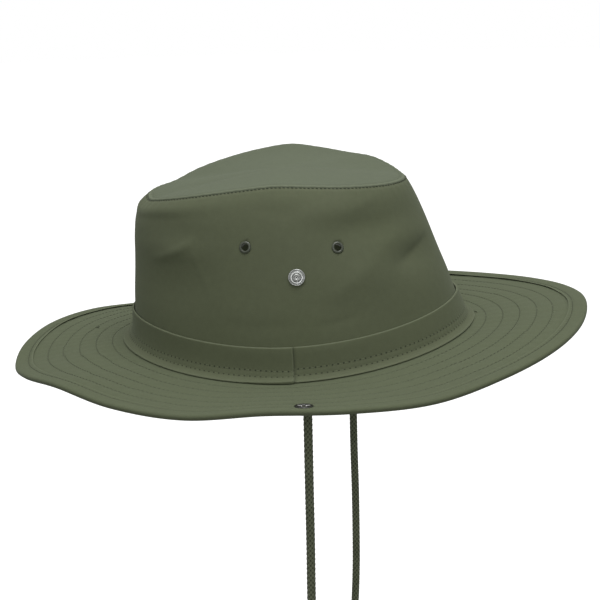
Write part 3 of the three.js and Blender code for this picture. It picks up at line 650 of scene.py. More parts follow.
def spokes(sides, across, other):
    """Directions out from a line, all round it at each of its points."""
    turn = round_turn(sides)
    return np.cos(turn)[:, None] * across[:, None] + np.sin(turn)[:, None] * other[:, None]


def tubes(p, normal, across, radius, sides=5):
    """Thin threads with five points each, whose ends run to a point."""
    count = len(p)
    turn = round_turn(sides)
    ring = np.cos(turn)[:, None, None, None] * normal[None, :, 1:4]
    ring = ring + np.sin(turn)[:, None, None, None] * across[None, :, 1:4]
    rings = p[None, :, 1:4] + radius * ring
    rings = rings.transpose(1, 2, 0, 3).reshape(count, 3 * sides, 3)
    points = np.concatenate([rings, p[:, :1], p[:, 4:]], 1)
    k = np.arange(sides)
    quads = net(3, sides, closed_rings=False)
    tris = np.concatenate([fan(3 * sides, k, flip=True), fan(3 * sides + 1, 2 * sides + k)])
    shift = np.arange(count)[:, None, None] * (3 * sides + 2)
    quads = (quads[None] + shift).reshape(-1, 4)
    tris = (tris[None] + shift).reshape(-1, 3)
    return points.reshape(-1, 3), quads, tris


def thread_row(
    line,
    normals,
    length=None,
    low=STITCH_LOW,
    high=STITCH_HIGH,
    radius=THREAD_RADIUS,
    slant=0.0,
    pitch=PITCH_LENGTH,
):
    """Points and faces of a row of stitches along a closed line. length is the way round
    to each station that the row's needle holes follow, where that isn't the row's own."""
    length = length_round(line) if length is None else length
    closed = np.concatenate([line, line[:1]])
    facing = np.concatenate([normals, normals[:1]])

    def at(values, where):
        return np.stack([np.interp(where, length, values[:, k]) for k in range(3)], -1)

    count = int(length[-1] / pitch)
    middle = (np.arange(count) + 0.5) * pitch
    spread = np.array([-0.42, -0.24, 0.0, 0.24, 0.42]) * pitch
    where = middle[:, None] + spread[None] + rng.uniform(-0.06, 0.06, (count, 1))
    lift = np.array([-low, high * 0.6, high, high * 0.6, -low])
    p, n = at(closed, where), unit(at(facing, where))
    run = unit(np.gradient(p, axis=1))
    across = np.cross(run, n)
    sway = slant * np.array([-1, -0.5, 0, 0.5, 1.0])
    p = p + n * lift[None, :, None] + across * sway[None, :, None]
    return tubes(p, n, across, radius)


def join_rows(name, rows):
    """One mesh from several rows of stitches."""
    points, quads, tris, base = [], [], [], 0
    for p, q, t in rows:
        points.append(p)
        quads.append(q + base)
        tris.append(t + base)
        base += len(p)
    return new_mesh(name, place(np.concatenate(points)), np.concatenate(quads), np.concatenate(tris))


def ring_tube(line, radius, sides=8):
    """Points and faces of a round tube along a closed line that lies almost level."""
    run = unit(np.roll(line, -1, 0) - np.roll(line, 1, 0))
    out = unit(np.cross(run, [0, 0, 1.0]))
    up = np.cross(out, run)
    rings = line[:, None] + radius * spokes(sides, out, up)
    return rings.reshape(-1, 3), net(len(line), sides, flip=True), np.zeros((0, 3), int)


def lathe(name, section, spot, normal, steps):
    """Turned metal: a closed section of (radius, height) pairs round an axis."""
    axis = unit(np.asarray(normal, float))
    side = np.array([0, 0, 1.0]) if abs(axis[2]) < 0.9 else np.array([0, 1.0, 0])
    u = unit(np.cross(side, axis))
    v = np.cross(axis, u)
    turn = round_turn(steps)
    out = np.cos(turn)[:, None] * u + np.sin(turn)[:, None] * v
    s = np.asarray(section, float)
    p = spot + out[:, None] * s[None, :, :1] + axis * s[None, :, 1:]
    return new_mesh(name, place(p.reshape(-1, 3)), net(steps, len(s)))


def bead(points, steps):
    """A section of (radius, height) pairs with its corners rounded by repeated cutting."""
    p = np.asarray(points, float)
    for _ in range(steps):
        q = np.roll(p, -1, 0)
        p = np.stack([0.75 * p + 0.25 * q, 0.25 * p + 0.75 * q], 1).reshape(-1, 2)
    return p


# Shader groups
def group_socket(tree, name, way, kind, value=None):
    made = tree.interface.new_socket(name=name, in_out=way, socket_type=kind)
    if value is not None:
        made.default_value = value
    return made


class Graph:
    """Short ways to add and wire nodes."""

    def __init__(self, tree):
        self.tree = tree

    def node(self, kind, **settings):
        made = self.tree.nodes.new(kind)
        for key, value in settings.items():
            setattr(made, key, value)
        return made

    def feed(self, source, target):
        if isinstance(source, bpy.types.NodeSocket):
            self.tree.links.new(source, target)
        elif source is not None:
            target.default_value = source

    def fill(self, sockets, **values):
        """Feed several sockets. An underscore stands for a space in a socket's name."""
        for key, value in values.items():
            self.feed(value, sockets[key.replace("_", " ")])

    def object_place(self):
        return self.node("ShaderNodeTexCoord").outputs["Object"]

    def value(self, name):
        """Number that the mesh holds for each point."""
        return self.node("ShaderNodeAttribute", attribute_name=name).outputs["Fac"]

    def math(self, operation, a, b=None, c=None):
        made = self.node("ShaderNodeMath", operation=operation)
        for socket, value in zip(made.inputs, (a, b, c)):
            self.feed(value, socket)
        return made.outputs[0]

    def mix(self, blend, factor, a, b):
        made = self.node("ShaderNodeMix", data_type="RGBA", blend_type=blend)
        self.fill(made.inputs, Factor=factor, A=a, B=b)
        return made.outputs["Result"]

    def ramp(self, value, low, high, to_low=0.0, to_high=1.0, smooth=False):
        made = self.node("ShaderNodeMapRange", clamp=True)
        if smooth:
            made.interpolation_type = "SMOOTHSTEP"
        for socket, x in zip(made.inputs, (value, low, high, to_low, to_high)):
            self.feed(x, socket)
        return made.outputs["Result"]

    def noise(self, vector, scale, detail=3.0, rough=0.55):
        made = self.node("ShaderNodeTexNoise")
        self.fill(made.inputs, Vector=vector, Scale=scale, Detail=detail, Roughness=rough)
        return made.outputs["Fac"]


def new_group(name, inputs, outputs):
    tree = bpy.data.node_groups.new(name, "ShaderNodeTree")
    for key, kind, value in inputs:
        group_socket(tree, key, "INPUT", kind, value)
    for key, kind in outputs:
        group_socket(tree, key, "OUTPUT", kind)
    g = Graph(tree)
    return g, g.node("NodeGroupInput").outputs, g.node("NodeGroupOutput").inputs


FLOAT, VECTOR, COLOUR = "NodeSocketFloat", "NodeSocketVector", "NodeSocketColor"


def make_weave_group():
    """Plain weave of warp and weft with uneven yarns."""
    g, given, out = new_group(
        "Plain weave",
        [("Place", VECTOR, None), ("Yarn", FLOAT, 0.6), ("Slub", FLOAT, 0.5)],
        [("Height", FLOAT), ("Fleck", FLOAT)],
    )
    wobble = g.noise(given["Place"], 0.35, detail=2.0)
    shift = g.math("MULTIPLY", g.math("SUBTRACT", wobble, 0.5), 0.5)
    split = g.node("ShaderNodeSeparateXYZ")
    g.feed(given["Place"], split.inputs[0])
    turns = g.math("DIVIDE", math.pi, given["Yarn"])
    a = g.math("MULTIPLY", g.math("ADD", split.outputs["X"], shift), turns)
    b = g.math("MULTIPLY", g.math("ADD", split.outputs["Y"], shift), turns)
    over = g.math("MULTIPLY", g.math("SINE", a), g.math("SINE", b))
    warp = g.math("ABSOLUTE", g.math("COSINE", a))
    weft = g.math("ABSOLUTE", g.math("COSINE", b))
    top = g.ramp(over, -0.35, 0.35)
    high = g.math("MULTIPLY_ADD", g.math("SUBTRACT", weft, warp), top, warp)
    grain = g.noise(given["Place"], 1.7, detail=4.0, rough=0.65)
    rough = g.math("MULTIPLY", g.math("SUBTRACT", grain, 0.5), given["Slub"])
    g.fill(out, Height=g.math("ADD", high, rough), Fleck=grain)


def make_needle_group():
    """Needle holes and puckers along rows of stitches. Place is (along, distance from edge)."""
    g, given, out = new_group(
        "Needle rows",
        [
            ("Place", VECTOR, None),
            ("First row", FLOAT, HEM_ROW),
            ("Step", FLOAT, 10.0),
            ("Last", FLOAT, 0.0),
            ("Pitch", FLOAT, PITCH_LENGTH),
            ("Hole", FLOAT, NEEDLE_HOLE),
        ],
        [("Holes", FLOAT), ("Pucker", FLOAT)],
    )
    split = g.node("ShaderNodeSeparateXYZ")
    g.feed(given["Place"], split.inputs[0])
    past = g.math("SUBTRACT", split.outputs["Y"], given["First row"])
    which = g.math("ROUND", g.math("DIVIDE", past, given["Step"]))
    which = g.math("MINIMUM", g.math("MAXIMUM", which, 0.0), given["Last"])
    off = g.math("SUBTRACT", past, g.math("MULTIPLY", which, given["Step"]))
    turn = g.math("DIVIDE", split.outputs["X"], given["Pitch"])
    part = g.math("SUBTRACT", g.math("FRACT", g.math("ADD", turn, 0.5)), 0.5)
    along = g.math("MULTIPLY", part, given["Pitch"])
    far = g.math("ADD", g.math("MULTIPLY", along, along), g.math("MULTIPLY", off, off))
    far = g.math("SQRT", far)
    hole = g.ramp(g.math("DIVIDE", far, given["Hole"]), 1.0, 0.5, smooth=True)
    wide = g.math("MULTIPLY", off, 0.6)
    near = g.math("POWER", math.e, g.math("MULTIPLY", g.math("MULTIPLY", wide, wide), -1.0))
    wave = g.math("COSINE", g.math("MULTIPLY", turn, TAU))
    g.fill(out, Holes=hole, Pucker=g.math("MULTIPLY", wave, near))


def make_tone_group():
    """Uneven dye of a cloth, with painted highlight and wear on its edges and painted shade in its
    hollows.
    """
    g, given, out = new_group(
        "Cloth tone",
        [
            ("Dye", COLOUR, (0.1, 0.12, 0.07, 1)),
            ("Edge", FLOAT, 0.0),
            ("Hollow", FLOAT, 0.0),
            ("Fleck", FLOAT, 0.5),
            ("Patches", FLOAT, DYE_PATCHES),
        ],
        [("Colour", COLOUR), ("Cloud", FLOAT)],
    )
    where = g.object_place()
    cloud = g.noise(where, 22.0, detail=4.0, rough=0.6)
    fine = g.noise(where, 260.0, detail=2.0, rough=0.6)
    spread = g.math("MULTIPLY", g.math("SUBTRACT", cloud, 0.5), given["Patches"])
    speck = g.math("MULTIPLY", g.math("SUBTRACT", given["Fleck"], 0.5), 0.22)
    grain = g.math("MULTIPLY", g.math("SUBTRACT", fine, 0.5), 0.16)
    level = g.math("ADD", g.math("ADD", spread, speck), g.math("ADD", grain, 1.0))
    grey = g.node("ShaderNodeCombineColor")
    for socket in grey.inputs:
        g.feed(level, socket)
    toned = g.mix("MULTIPLY", 1.0, given["Dye"], grey.outputs[0])
    # Paler edges are painted highlight and wear; the darkening after them is painted shade.
    pale = g.mix("MIX", g.math("MULTIPLY", given["Edge"], 0.4), toned, (*WEAR_HIGHLIGHT_OLIVE, 1))
    dark = g.mix("MIX", g.math("MULTIPLY", given["Hollow"], 0.85), pale, (*SHADE_OLIVE, 1))
    g.fill(out, Colour=dark, Cloud=cloud)


def use_group(g, name, **values):
    """One shader group placed in a material, with its own values or links."""
    made = g.node("ShaderNodeGroup")
    made.node_tree = bpy.data.node_groups[name]
    g.fill(made.inputs, **values)
    return made.outputs


def new_material(name):
    material = bpy.data.materials.new(name)
    material.use_nodes = True
    g = Graph(material.node_tree)
    return material, g, material.node_tree.nodes["Principled BSDF"].inputs


def bump(g, height, strength, distance, before=None):
    made = g.node("ShaderNodeBump")
    g.fill(made.inputs, Strength=strength, Distance=distance, Height=height, Normal=before)
    return made.outputs["Normal"]


def cotton(name, dye, rows=None):
    """Cotton cloth with painted shade in its needle holes. rows says where those holes lie: first
    row, step, last row's number and the holes' radius."""
    material, g, shader = new_material(name)
    weave_place = g.node("ShaderNodeUVMap", uv_map="weave").outputs[0]
    weave = use_group(g, "Plain weave", Place=weave_place, Yarn=0.62, Slub=0.7)
    edge, painted_shade = g.value("edge"), g.value("painted_shade")
    normal = bump(g, weave["Height"], strength=0.22, distance=0.00012)
    if rows:
        first, step, last, hole = rows
        row_place = g.node("ShaderNodeUVMap", uv_map="rows").outputs[0]
        needle = use_group(
            g, "Needle rows", Place=row_place, First_row=first, Step=step, Last=last, Hole=hole
        )
        # The needle holes darken the cloth as painted shade.
        painted_shade = g.math("MAXIMUM", painted_shade, g.math("MULTIPLY", needle["Holes"], 0.9))
        normal = bump(g, needle["Pucker"], strength=0.35, distance=0.00016, before=normal)
    tone = use_group(
        g,
        "Cloth tone",
        Dye=(*dye, 1),
        Edge=edge,
        Hollow=painted_shade,
        Fleck=weave["Fleck"],
        Patches=DYE_PATCHES,
    )
    rough = g.ramp(tone["Cloud"], 0.3, 0.7, 0.74, 0.9)
    g.fill(shader, Base_Color=tone["Colour"], Roughness=rough, Normal=normal, Specular_IOR_Level=0.32)
    g.fill(shader, Sheen_Weight=0.12, Sheen_Roughness=0.5, Sheen_Tint=(*SHEEN_GREEN, 1))
    return material


def thread_material(name, dye):
    """Twisted thread, with painted highlight on the crests of its twist."""
    material, g, shader = new_material(name)
    where = g.object_place()
    twist = g.noise(where, 1800.0, detail=2.0)
    pale = (*(1.5 * x for x in dye), 1)
    tint = g.mix("MIX", g.ramp(twist, 0.35, 0.65), (*dye, 1), pale)
    normal = bump(g, twist, strength=0.4, distance=0.0001)
    g.fill(shader, Base_Color=tint, Normal=normal, Roughness=0.6, Specular_IOR_Level=0.4)
    return material


def cord_material():
    """Braid with painted shade in the grooves between its strands, fuzzy and a little worn."""
    material, g, shader = new_material("Braided cord")
    over = g.value("over")
    where = g.object_place()
    fibre = g.noise(where, 1500.0, rough=0.7)
    cloud = g.noise(where, 90.0, detail=2.0)
    shade = g.mix("MIX", g.ramp(over, 0.35, 0.8), (*CORD_GROOVE_SHADE, 1), (*CORD_OLIVE, 1))
    fuzzy = g.math("MULTIPLY", g.ramp(fibre, 0.5, 0.75), 0.5)
    speck = g.mix("MIX", fuzzy, shade, (*CORD_FIBRE, 1))
    worn = g.mix("MULTIPLY", g.ramp(cloud, 0.4, 0.6, 0.0, 0.35), speck, (*CORD_WORN, 1))
    normal = bump(g, fibre, strength=0.5, distance=0.0002)
    g.fill(shader, Base_Color=worn, Normal=normal, Roughness=0.85)
    g.fill(shader, Specular_IOR_Level=0.25, Sheen_Weight=0.15)
    return material


def make_scuff_group():
    """Fine scratches and dulled patches of handled metal."""
    g, given, out = new_group(
        "Handled metal",
        [("Scale", FLOAT, 900.0)],
        [("Scratch", FLOAT), ("Dull", FLOAT)],
    )
    where = g.object_place()
    stretch = g.node("ShaderNodeMapping")
    g.fill(stretch.inputs, Vector=where, Scale=(1.0, 5.0, 1.0), Rotation=(0.3, 0.7, 0.4))
    scratch = g.noise(stretch.outputs[0], given["Scale"], detail=4.0, rough=0.7)
    g.fill(out, Scratch=scratch, Dull=g.noise(where, 300.0))


def steel_material():
    """Nickel plate, duller where fingers press it."""
    material, g, shader = new_material("Nickelled steel")
    scuff = use_group(g, "Handled metal", Scale=900.0)
    tint = g.mix("MIX", g.ramp(scuff["Dull"], 0.35, 0.7), (*STEEL_BRIGHT, 1), (*STEEL_DULL, 1))
    rough = g.ramp(scuff["Scratch"], 0.3, 0.7, 0.26, 0.4)
    normal = bump(g, scuff["Scratch"], strength=0.04, distance=0.00003)
    g.fill(shader, Base_Color=tint, Roughness=rough, Normal=normal, Metallic=1.0)
    return material


def plain_metal(name, colour, scale, smooth, rough):
    """Metal of one colour, whose roughness changes with its scratches."""
    material, g, shader = new_material(name)
    scuff = use_group(g, "Handled metal", Scale=scale)
    roughness = g.ramp(scuff["Scratch"], 0.3, 0.7, smooth, rough)
    g.fill(shader, Base_Color=(*colour, 1), Roughness=roughness, Metallic=1.0)
    return material


def wire_material():
    return plain_metal("Spring wire", WIRE_BRIGHT, 900.0, 0.22, 0.34)


def gunmetal_material():
    return plain_metal("Gunmetal", GUNMETAL, 700.0, 0.28, 0.5)


def enamel_material():
    """Dark green enamel, scratched through to the metal here and there."""
    material, g, shader = new_material("Green enamel")
    scuff = use_group(g, "Handled metal", Scale=700.0)
    worn = g.math("MULTIPLY", g.ramp(scuff["Scratch"], 0.62, 0.74), 0.6)
    tint = g.mix("MIX", worn, (*ENAMEL_GREEN, 1), (*ENAMEL_WORN, 1))
    rough = g.ramp(scuff["Dull"], 0.3, 0.7, 0.3, 0.5)
    normal = bump(g, scuff["Scratch"], strength=0.1, distance=0.00005)
    g.fill(shader, Base_Color=tint, Roughness=rough, Normal=normal)
    g.fill(shader, Coat_Weight=0.25, Specular_IOR_Level=0.6)
    return material


def floor_material():
    """Overlit white sweep, which the camera sees without a horizon."""
    material, g, shader = new_material("White floor")
    seen = g.node("ShaderNodeLightPath").outputs["Is Camera Ray"]
    g.fill(shader, Base_Color=(*FLOOR_GREY, 1), Roughness=0.9)
    g.fill(shader, Emission_Color=(1, 1, 1, 1), Emission_Strength=seen)
    return material


# Hat pieces
def find_on_wall(points, normals, side, along, up):
    """Point and normal of the wall at a place given as shares."""
    y, z = along * BASE_REAR, up * CROWN_HEIGHT
    flat = points.reshape(-1, 3)
    facing = normals.reshape(-1, 3)
    off = (flat[:, 1] - y) ** 2 + (flat[:, 2] - z) ** 2
    off[side * flat[:, 0] < 0] = np.inf
    k = int(np.argmin(off))
    p, n = flat[k].copy(), facing[k]
    x = p[0] - (n[1] * (y - p[1]) + n[2] * (z - p[2])) / n[0]
    return np.array([x, y, z]), n


def about_axis(p, spot, normal):
    """Height of points over a fitting's place, their way out from its axis and its length."""
    off = p - spot
    depth = off @ normal
    flat = off - depth[..., None] * normal
    return depth, flat, np.linalg.norm(flat, axis=-1)


def open_hole(p, spot, normal):
    """Points of the wall that lie inside a vent's hole move out to the rim of the hole."""
    depth, flat, far = about_axis(p, spot, normal)
    inside = (far < VENT_HOLE) & (np.abs(depth) < FITTING_REACH)
    grow = np.where(inside, VENT_HOLE / np.maximum(far, 0.05), 1)
    return spot + depth[..., None] * normal + flat * grow[..., None]


def cut_cloth(p, normals, left, radius):
    """Outer and inner face of crown cloth whose cut edge, at left = 0, rounds off."""
    rim = turn_edge(left, radius)
    return p - normals * rim[..., None], p - normals * np.maximum(CLOTH - rim * 0.4, THINNEST)[..., None]


def make_crown_side(material):
    """Crown wall with its creases, its vent holes and the places where the fittings press it."""
    phi = stations(WALL_STATIONS)
    share = np.concatenate([np.linspace(0, 0.93, 56), 1 - 0.07 * np.linspace(0.86, 0, 12) ** 1.6])
    foot = up_for(phi, ROOT_RISE + GAP)[:, None]
    up = foot + (1 - foot) * share[None]
    across = np.broadcast_to(phi[:, None], up.shape)
    p = wall_point(across, up)
    n = grid_normals(p)
    climb = length_along(p)
    left = climb[:, -1:] - climb
    loose = ripple(across, climb / 11, WALL_LOOSE, count=14, turns=9, rows=2.4)
    loose = loose + ripple(across, climb / 7, WALL_FINE, count=10, turns=26, rows=2.0)
    gathers = WALL_GATHER * np.sin(across * WALL_GATHERS + 2 * np.sin(5 * across)) * np.exp(-left / 5)
    calm = smoothstep(0, 3, left) * smoothstep(0, 3, climb)
    p = p + n * (loose * calm + gathers * smoothstep(0, 2, left))[..., None]
    spots = {key: find_on_wall(p, n, *where) for key, where in VENTS.items()}
    spots["stud"] = find_on_wall(p, n, *STUD_PLACE)
    keep = np.ones((len(phi), p.shape[1] - 1), bool)
    for key, (spot, normal) in spots.items():
        flange = VENT_RADIUS if key != "stud" else STUD_RADIUS
        depth, _, far = about_axis(p, spot, normal)
        near = np.abs(depth) < FITTING_REACH
        press = np.exp(-((far / (flange * PRESS_REACH)) ** 4)) * near
        p = p + normal * (-PRESS_DEPTH * press - depth * PRESS_FLAT * press)[..., None]
        if key == "stud":
            continue
        after = np.roll(p, -1, 0)
        centre = (p[:, :-1] + p[:, 1:] + after[:, :-1] + after[:, 1:]) / 4
        depth, _, far = about_axis(centre, spot, normal)
        keep &= ~((far < VENT_HOLE) & (np.abs(depth) < FITTING_REACH))
        p = open_hole(p, spot, normal)
    n = grid_normals(p)
    outer, inner = cut_cloth(p, n, left, WALL_EDGE)
    weave = cloth_map(p[:, p.shape[1] // 2], climb)
    # Painted highlight and wear on a pale line below the seam, and painted shade at the seam.
    edge = 0.25 * mound(left - 1.6, 0.8)
    painted_shade = 0.35 * smoothstep(0.4, 0.0, left)
    values = {"edge": edge, "painted_shade": painted_shade}
    obj = shell("crown_wall_cloth", outer, inner, {"weave": weave}, values, keep)
    finish_piece(obj, material, "crown_cloth", "crown_side")
    seam = p[:, -1] - n[:, -1] * SEAM_SINK
    row = int(np.argmin(np.abs(left.mean(0) - TIP_SEAM_ROW)))
    return spots, (outer[:, row], n[:, row], seam)


def make_tip(material):
    """Oval top panel, which stands up in a soft ridge beside its seam."""
    phi = stations(TIP_STATIONS)
    share = np.concatenate([np.linspace(0.05, 0.93, 30), 1 - 0.07 * np.linspace(0.9, 0, 14) ** 1.5])
    across = np.broadcast_to(phi[:, None], (len(phi), len(share)))
    s = np.broadcast_to(share[None], across.shape)
    p = tip_point(across, s)
    n = grid_normals(p, flip=True)
    out = length_along(p)
    left = out[:, -1:] - out
    soft = ripple(across, s * 3, TIP_LOOSE, count=12, turns=4, rows=2.0)
    soft = soft * smoothstep(0.05, 0.4, s) * smoothstep(0, 6, left)
    ridge = TIP_RIDGE * mound(left - TIP_RIDGE_AT, TIP_RIDGE_WIDTH)
    valley = TIP_VALLEY * mound(left - TIP_VALLEY_AT, TIP_VALLEY_WIDTH)
    gathers = TIP_GATHER * np.sin(across * TIP_GATHERS + 2 * np.sin(4 * across)) * np.exp(-left / 4)
    p = p + n * (soft + (ridge - valley) + gathers * smoothstep(0, 1.5, left))[..., None]
    n = grid_normals(p, flip=True)
    outer, inner = cut_cloth(p, n, left, TIP_EDGE)
    flat = np.concatenate([p, p[:1]])[..., :2]
    # Painted highlight and wear on the ridge beside the seam; painted shade at the seam and in the valley.
    edge = 0.8 * mound(left - 1.3, 0.7)
    painted_shade = 0.35 * smoothstep(0.35, 0.0, left) + 0.18 * mound(left - 3.4, 0.5)
    values = {"edge": edge, "painted_shade": painted_shade}
    obj = shell("crown_tip_cloth", outer, inner, {"weave": flat}, values, capped=True, flip=True)
    finish_piece(obj, material, "crown_cloth", "crown_tip")
    return p[:, -1] - n[:, -1] * SEAM_SINK


def resample(line, low, high, middle):
    """Points along each station's line at set distances from its two ends."""
    far = length_along(line)
    made, where = [], []
    for k in range(len(line)):
        total = far[k, -1]
        between = np.linspace(low[-1], total - high[0], middle + 2)[1:-1]
        at = np.concatenate([low, between, total - np.asarray(high)])
        made.append(np.stack([np.interp(at, far[k], line[k, :, c]) for c in range(3)], -1))
        where.append(at)
    return np.array(made), np.array(where), far[:, -1]


def make_band(material):
    """Hat band with its flared lower edge and, on the left, the lapped join of its ends."""
    phi = stations(BAND_STATIONS, [JOIN + turn for turn in JOIN_FOLD])
    turn = np.mod(phi, TAU)
    before = (turn < JOIN) & (turn > JOIN - JOIN_LAP)
    lift = np.where(before, JOIN_STEP * (turn - JOIN + JOIN_LAP) / JOIN_LAP, 0)
    lift *= np.where(before, 1 - 0.45 * smoothstep(JOIN - 0.006, JOIN, turn), 1)
    root = [root_point(phi, FLANGE_REACH * k + lift * 0.2 * k**3) for k in np.linspace(1, 0.06, 12)]
    top = front_to_rear(phi, BAND_FRONT, BAND_REAR)
    wall = []
    for k in np.linspace(0.0, 1.0, 12):
        high = ROOT_RISE + BAND_SEAT + (top - ROOT_RISE - BAND_SEAT) * k
        wall.append(wall_point(phi, up_for(phi, high)))
    line = np.stack([*root, *wall], 1)
    for _ in range(BAND_ROUNDS):
        line[:, 1:-1] = (line[:, :-2] + 2 * line[:, 1:-1] + line[:, 2:]) / 4
    low = [0, 0.12, 0.3, 0.6, 1.0, 1.8, 2.8, 4.0, 5.2, BAND_LOW_ROW, 7.2, 8.3, 9.4]
    low += [BAND_HIGH_ROW, 11.4, 12.6]
    high = [1.4, 0.9, 0.55, 0.28, 0.1, 0.0]
    p, v, total = resample(line, low, high, 14)
    n = grid_normals(p)
    left = total[:, None] - v
    across = np.broadcast_to(phi[:, None], v.shape)
    slack = ripple(across, v / 9, BAND_LOOSE, count=12, turns=14, rows=2.0)
    slack = slack * smoothstep(6, 12, v) * smoothstep(0, 4, left)
    top_wave = ripple(across, v * 0, 0.5, count=8, turns=18, rows=0.0)
    slack += BAND_TOP_WAVE * top_wave * np.exp(-left / 3)
    rows = (BAND_LOW_ROW, BAND_HIGH_ROW)
    channel = sum(BAND_CHANNEL * mound(v - row, BAND_CHANNEL_WIDTH) for row in rows)
    puff = BAND_PUFF * mound(v - sum(rows) / 2, BAND_PUFF_WIDTH)
    mid = GAP + BAND_EASE + BAND_THICK / 2
    rim = turn_edge(np.minimum(v, left), BAND_THICK / 2)
    top_side = p + n * (mid + BAND_THICK / 2 + lift[:, None] - rim + slack - channel + puff)[..., None]
    under = p + n * (mid - BAND_THICK / 2 + rim + np.maximum(slack, -0.25))[..., None]
    picks = [int(np.argmin(np.abs(v[0] - row))) for row in rows]
    strip = cloth_map(top_side[:, picks[1]], v)
    # Painted highlight and wear on the band's top and lower edges and at the join; painted shade behind
    # the join's step.
    at_join = mound(turn - JOIN + 0.004, 0.004)[:, None]
    edge = np.maximum(0.6 * mound(left, 0.75), 0.55 * mound(v, 0.6))
    edge = np.maximum(edge, 0.35 * at_join)
    behind = mound(turn - JOIN - 0.003, 0.0028)[:, None]
    painted_shade = 0.85 * behind * np.ones_like(v)
    values = {"edge": edge, "painted_shade": painted_shade}
    obj = shell("hat_band_cloth", top_side, under, {"rows": strip, "weave": strip}, values)
    finish_piece(obj, material, "band_cloth", "hat_band")
    facing = grid_normals(top_side)
    length = length_round(top_side[:, picks[1]])
    return [(top_side[:, k], facing[:, k], length) for k in picks]


def brim_sink(from_edge):
    """How far the cloth of the brim sinks at its rows and puffs between them."""
    channel = sum(BRIM_CHANNEL * mound(from_edge - row, BRIM_CHANNEL_WIDTH) for row in BRIM_ROWS)
    between = np.cos(TAU * (from_edge - BRIM_FIRST_ROW) / BRIM_ROW_STEP)
    inside = smoothstep(10, 14, from_edge) * smoothstep(68, 63, from_edge)
    return -channel - BRIM_PUFF * between * inside


def pressed(phi):
    """Where the brim has been pressed flat in use, so that its stitches hardly show."""
    return np.exp(-(((np.mod(phi, TAU) - PRESSED_AT) / PRESSED_WIDE) ** 4))


def make_brim(material):
    """Stitched brim from its turned-up root to the edge inside the hem. Gives its ten rows."""
    phi = stations(BRIM_STATIONS)
    way = brim_ends(phi)[2][:, None]
    even = np.arange(0, BRIM_EVEN, BRIM_STEP)
    even = np.concatenate([[0.0, BRIM_FIRST_STEP], even[1:]])
    more = np.linspace(0, 1, 5)[1:]
    inset = np.concatenate(
        [np.broadcast_to(even, (len(phi), len(even))), even[-1] + (way - even[-1]) * more], 1
    )
    across = np.broadcast_to(phi[:, None], inset.shape)
    sheet = brim_point(across, inset)
    shares = np.broadcast_to(np.array([0.8, 0.56, 0.4, 0.27, 0.16, 0.08, 0.0]), (len(phi), 7))
    root = root_point(np.broadcast_to(phi[:, None], shares.shape), shares)
    p = np.concatenate([sheet, root], 1)[:, ::-1]
    out = length_along(p)
    from_edge = out[:, -1:] - out + HEM_THICK + GAP
    across = np.broadcast_to(phi[:, None], from_edge.shape)
    n = grid_normals(p, flip=True)
    sink = brim_sink(from_edge)
    free = smoothstep(76, 60, from_edge) * smoothstep(2, 10, from_edge)
    soft = ripple(across, from_edge / 14, BRIM_LOOSE, count=14, turns=12, rows=2.0) * free
    tug = BRIM_TUG * np.sin(across * BRIM_TUGS + 3 * np.sin(7 * across)) * free
    rim = turn_edge(from_edge - HEM_THICK - GAP, BRIM_THICK / 2)
    outer = p + n * (sink + soft + tug - rim)[..., None]
    inner = p + n * (soft - BRIM_THICK - sink + rim)[..., None]
    up, down = grid_normals(outer, flip=True), grid_normals(inner)
    station = np.arange(len(phi))
    top_rows, low_rows = [], []
    for row in BRIM_ROWS:
        j = np.argmin(np.abs(from_edge - row), 1)
        sunk = up[station, j] * BRIM_PRESSED * pressed(phi)[:, None]
        top_rows.append((outer[station, j] - sunk, up[station, j]))
        low_rows.append((inner[station, j], down[station, j]))
    needles = needle_map([line for line, _ in top_rows], from_edge, BRIM_FIRST_ROW, BRIM_ROW_STEP)
    flat = np.concatenate([p, p[:1]])[..., :2]
    # Painted shade in the stitched channels.
    painted_shade = sum(0.05 * mound(from_edge - row, 0.45) for row in BRIM_ROWS)
    values = {"edge": np.zeros_like(from_edge), "painted_shade": painted_shade}
    obj = shell("brim_cloth", outer, inner, {"rows": needles, "weave": flat}, values, flip=True)
    finish_piece(obj, material, "brim_cloth", "brim")
    return top_rows + low_rows


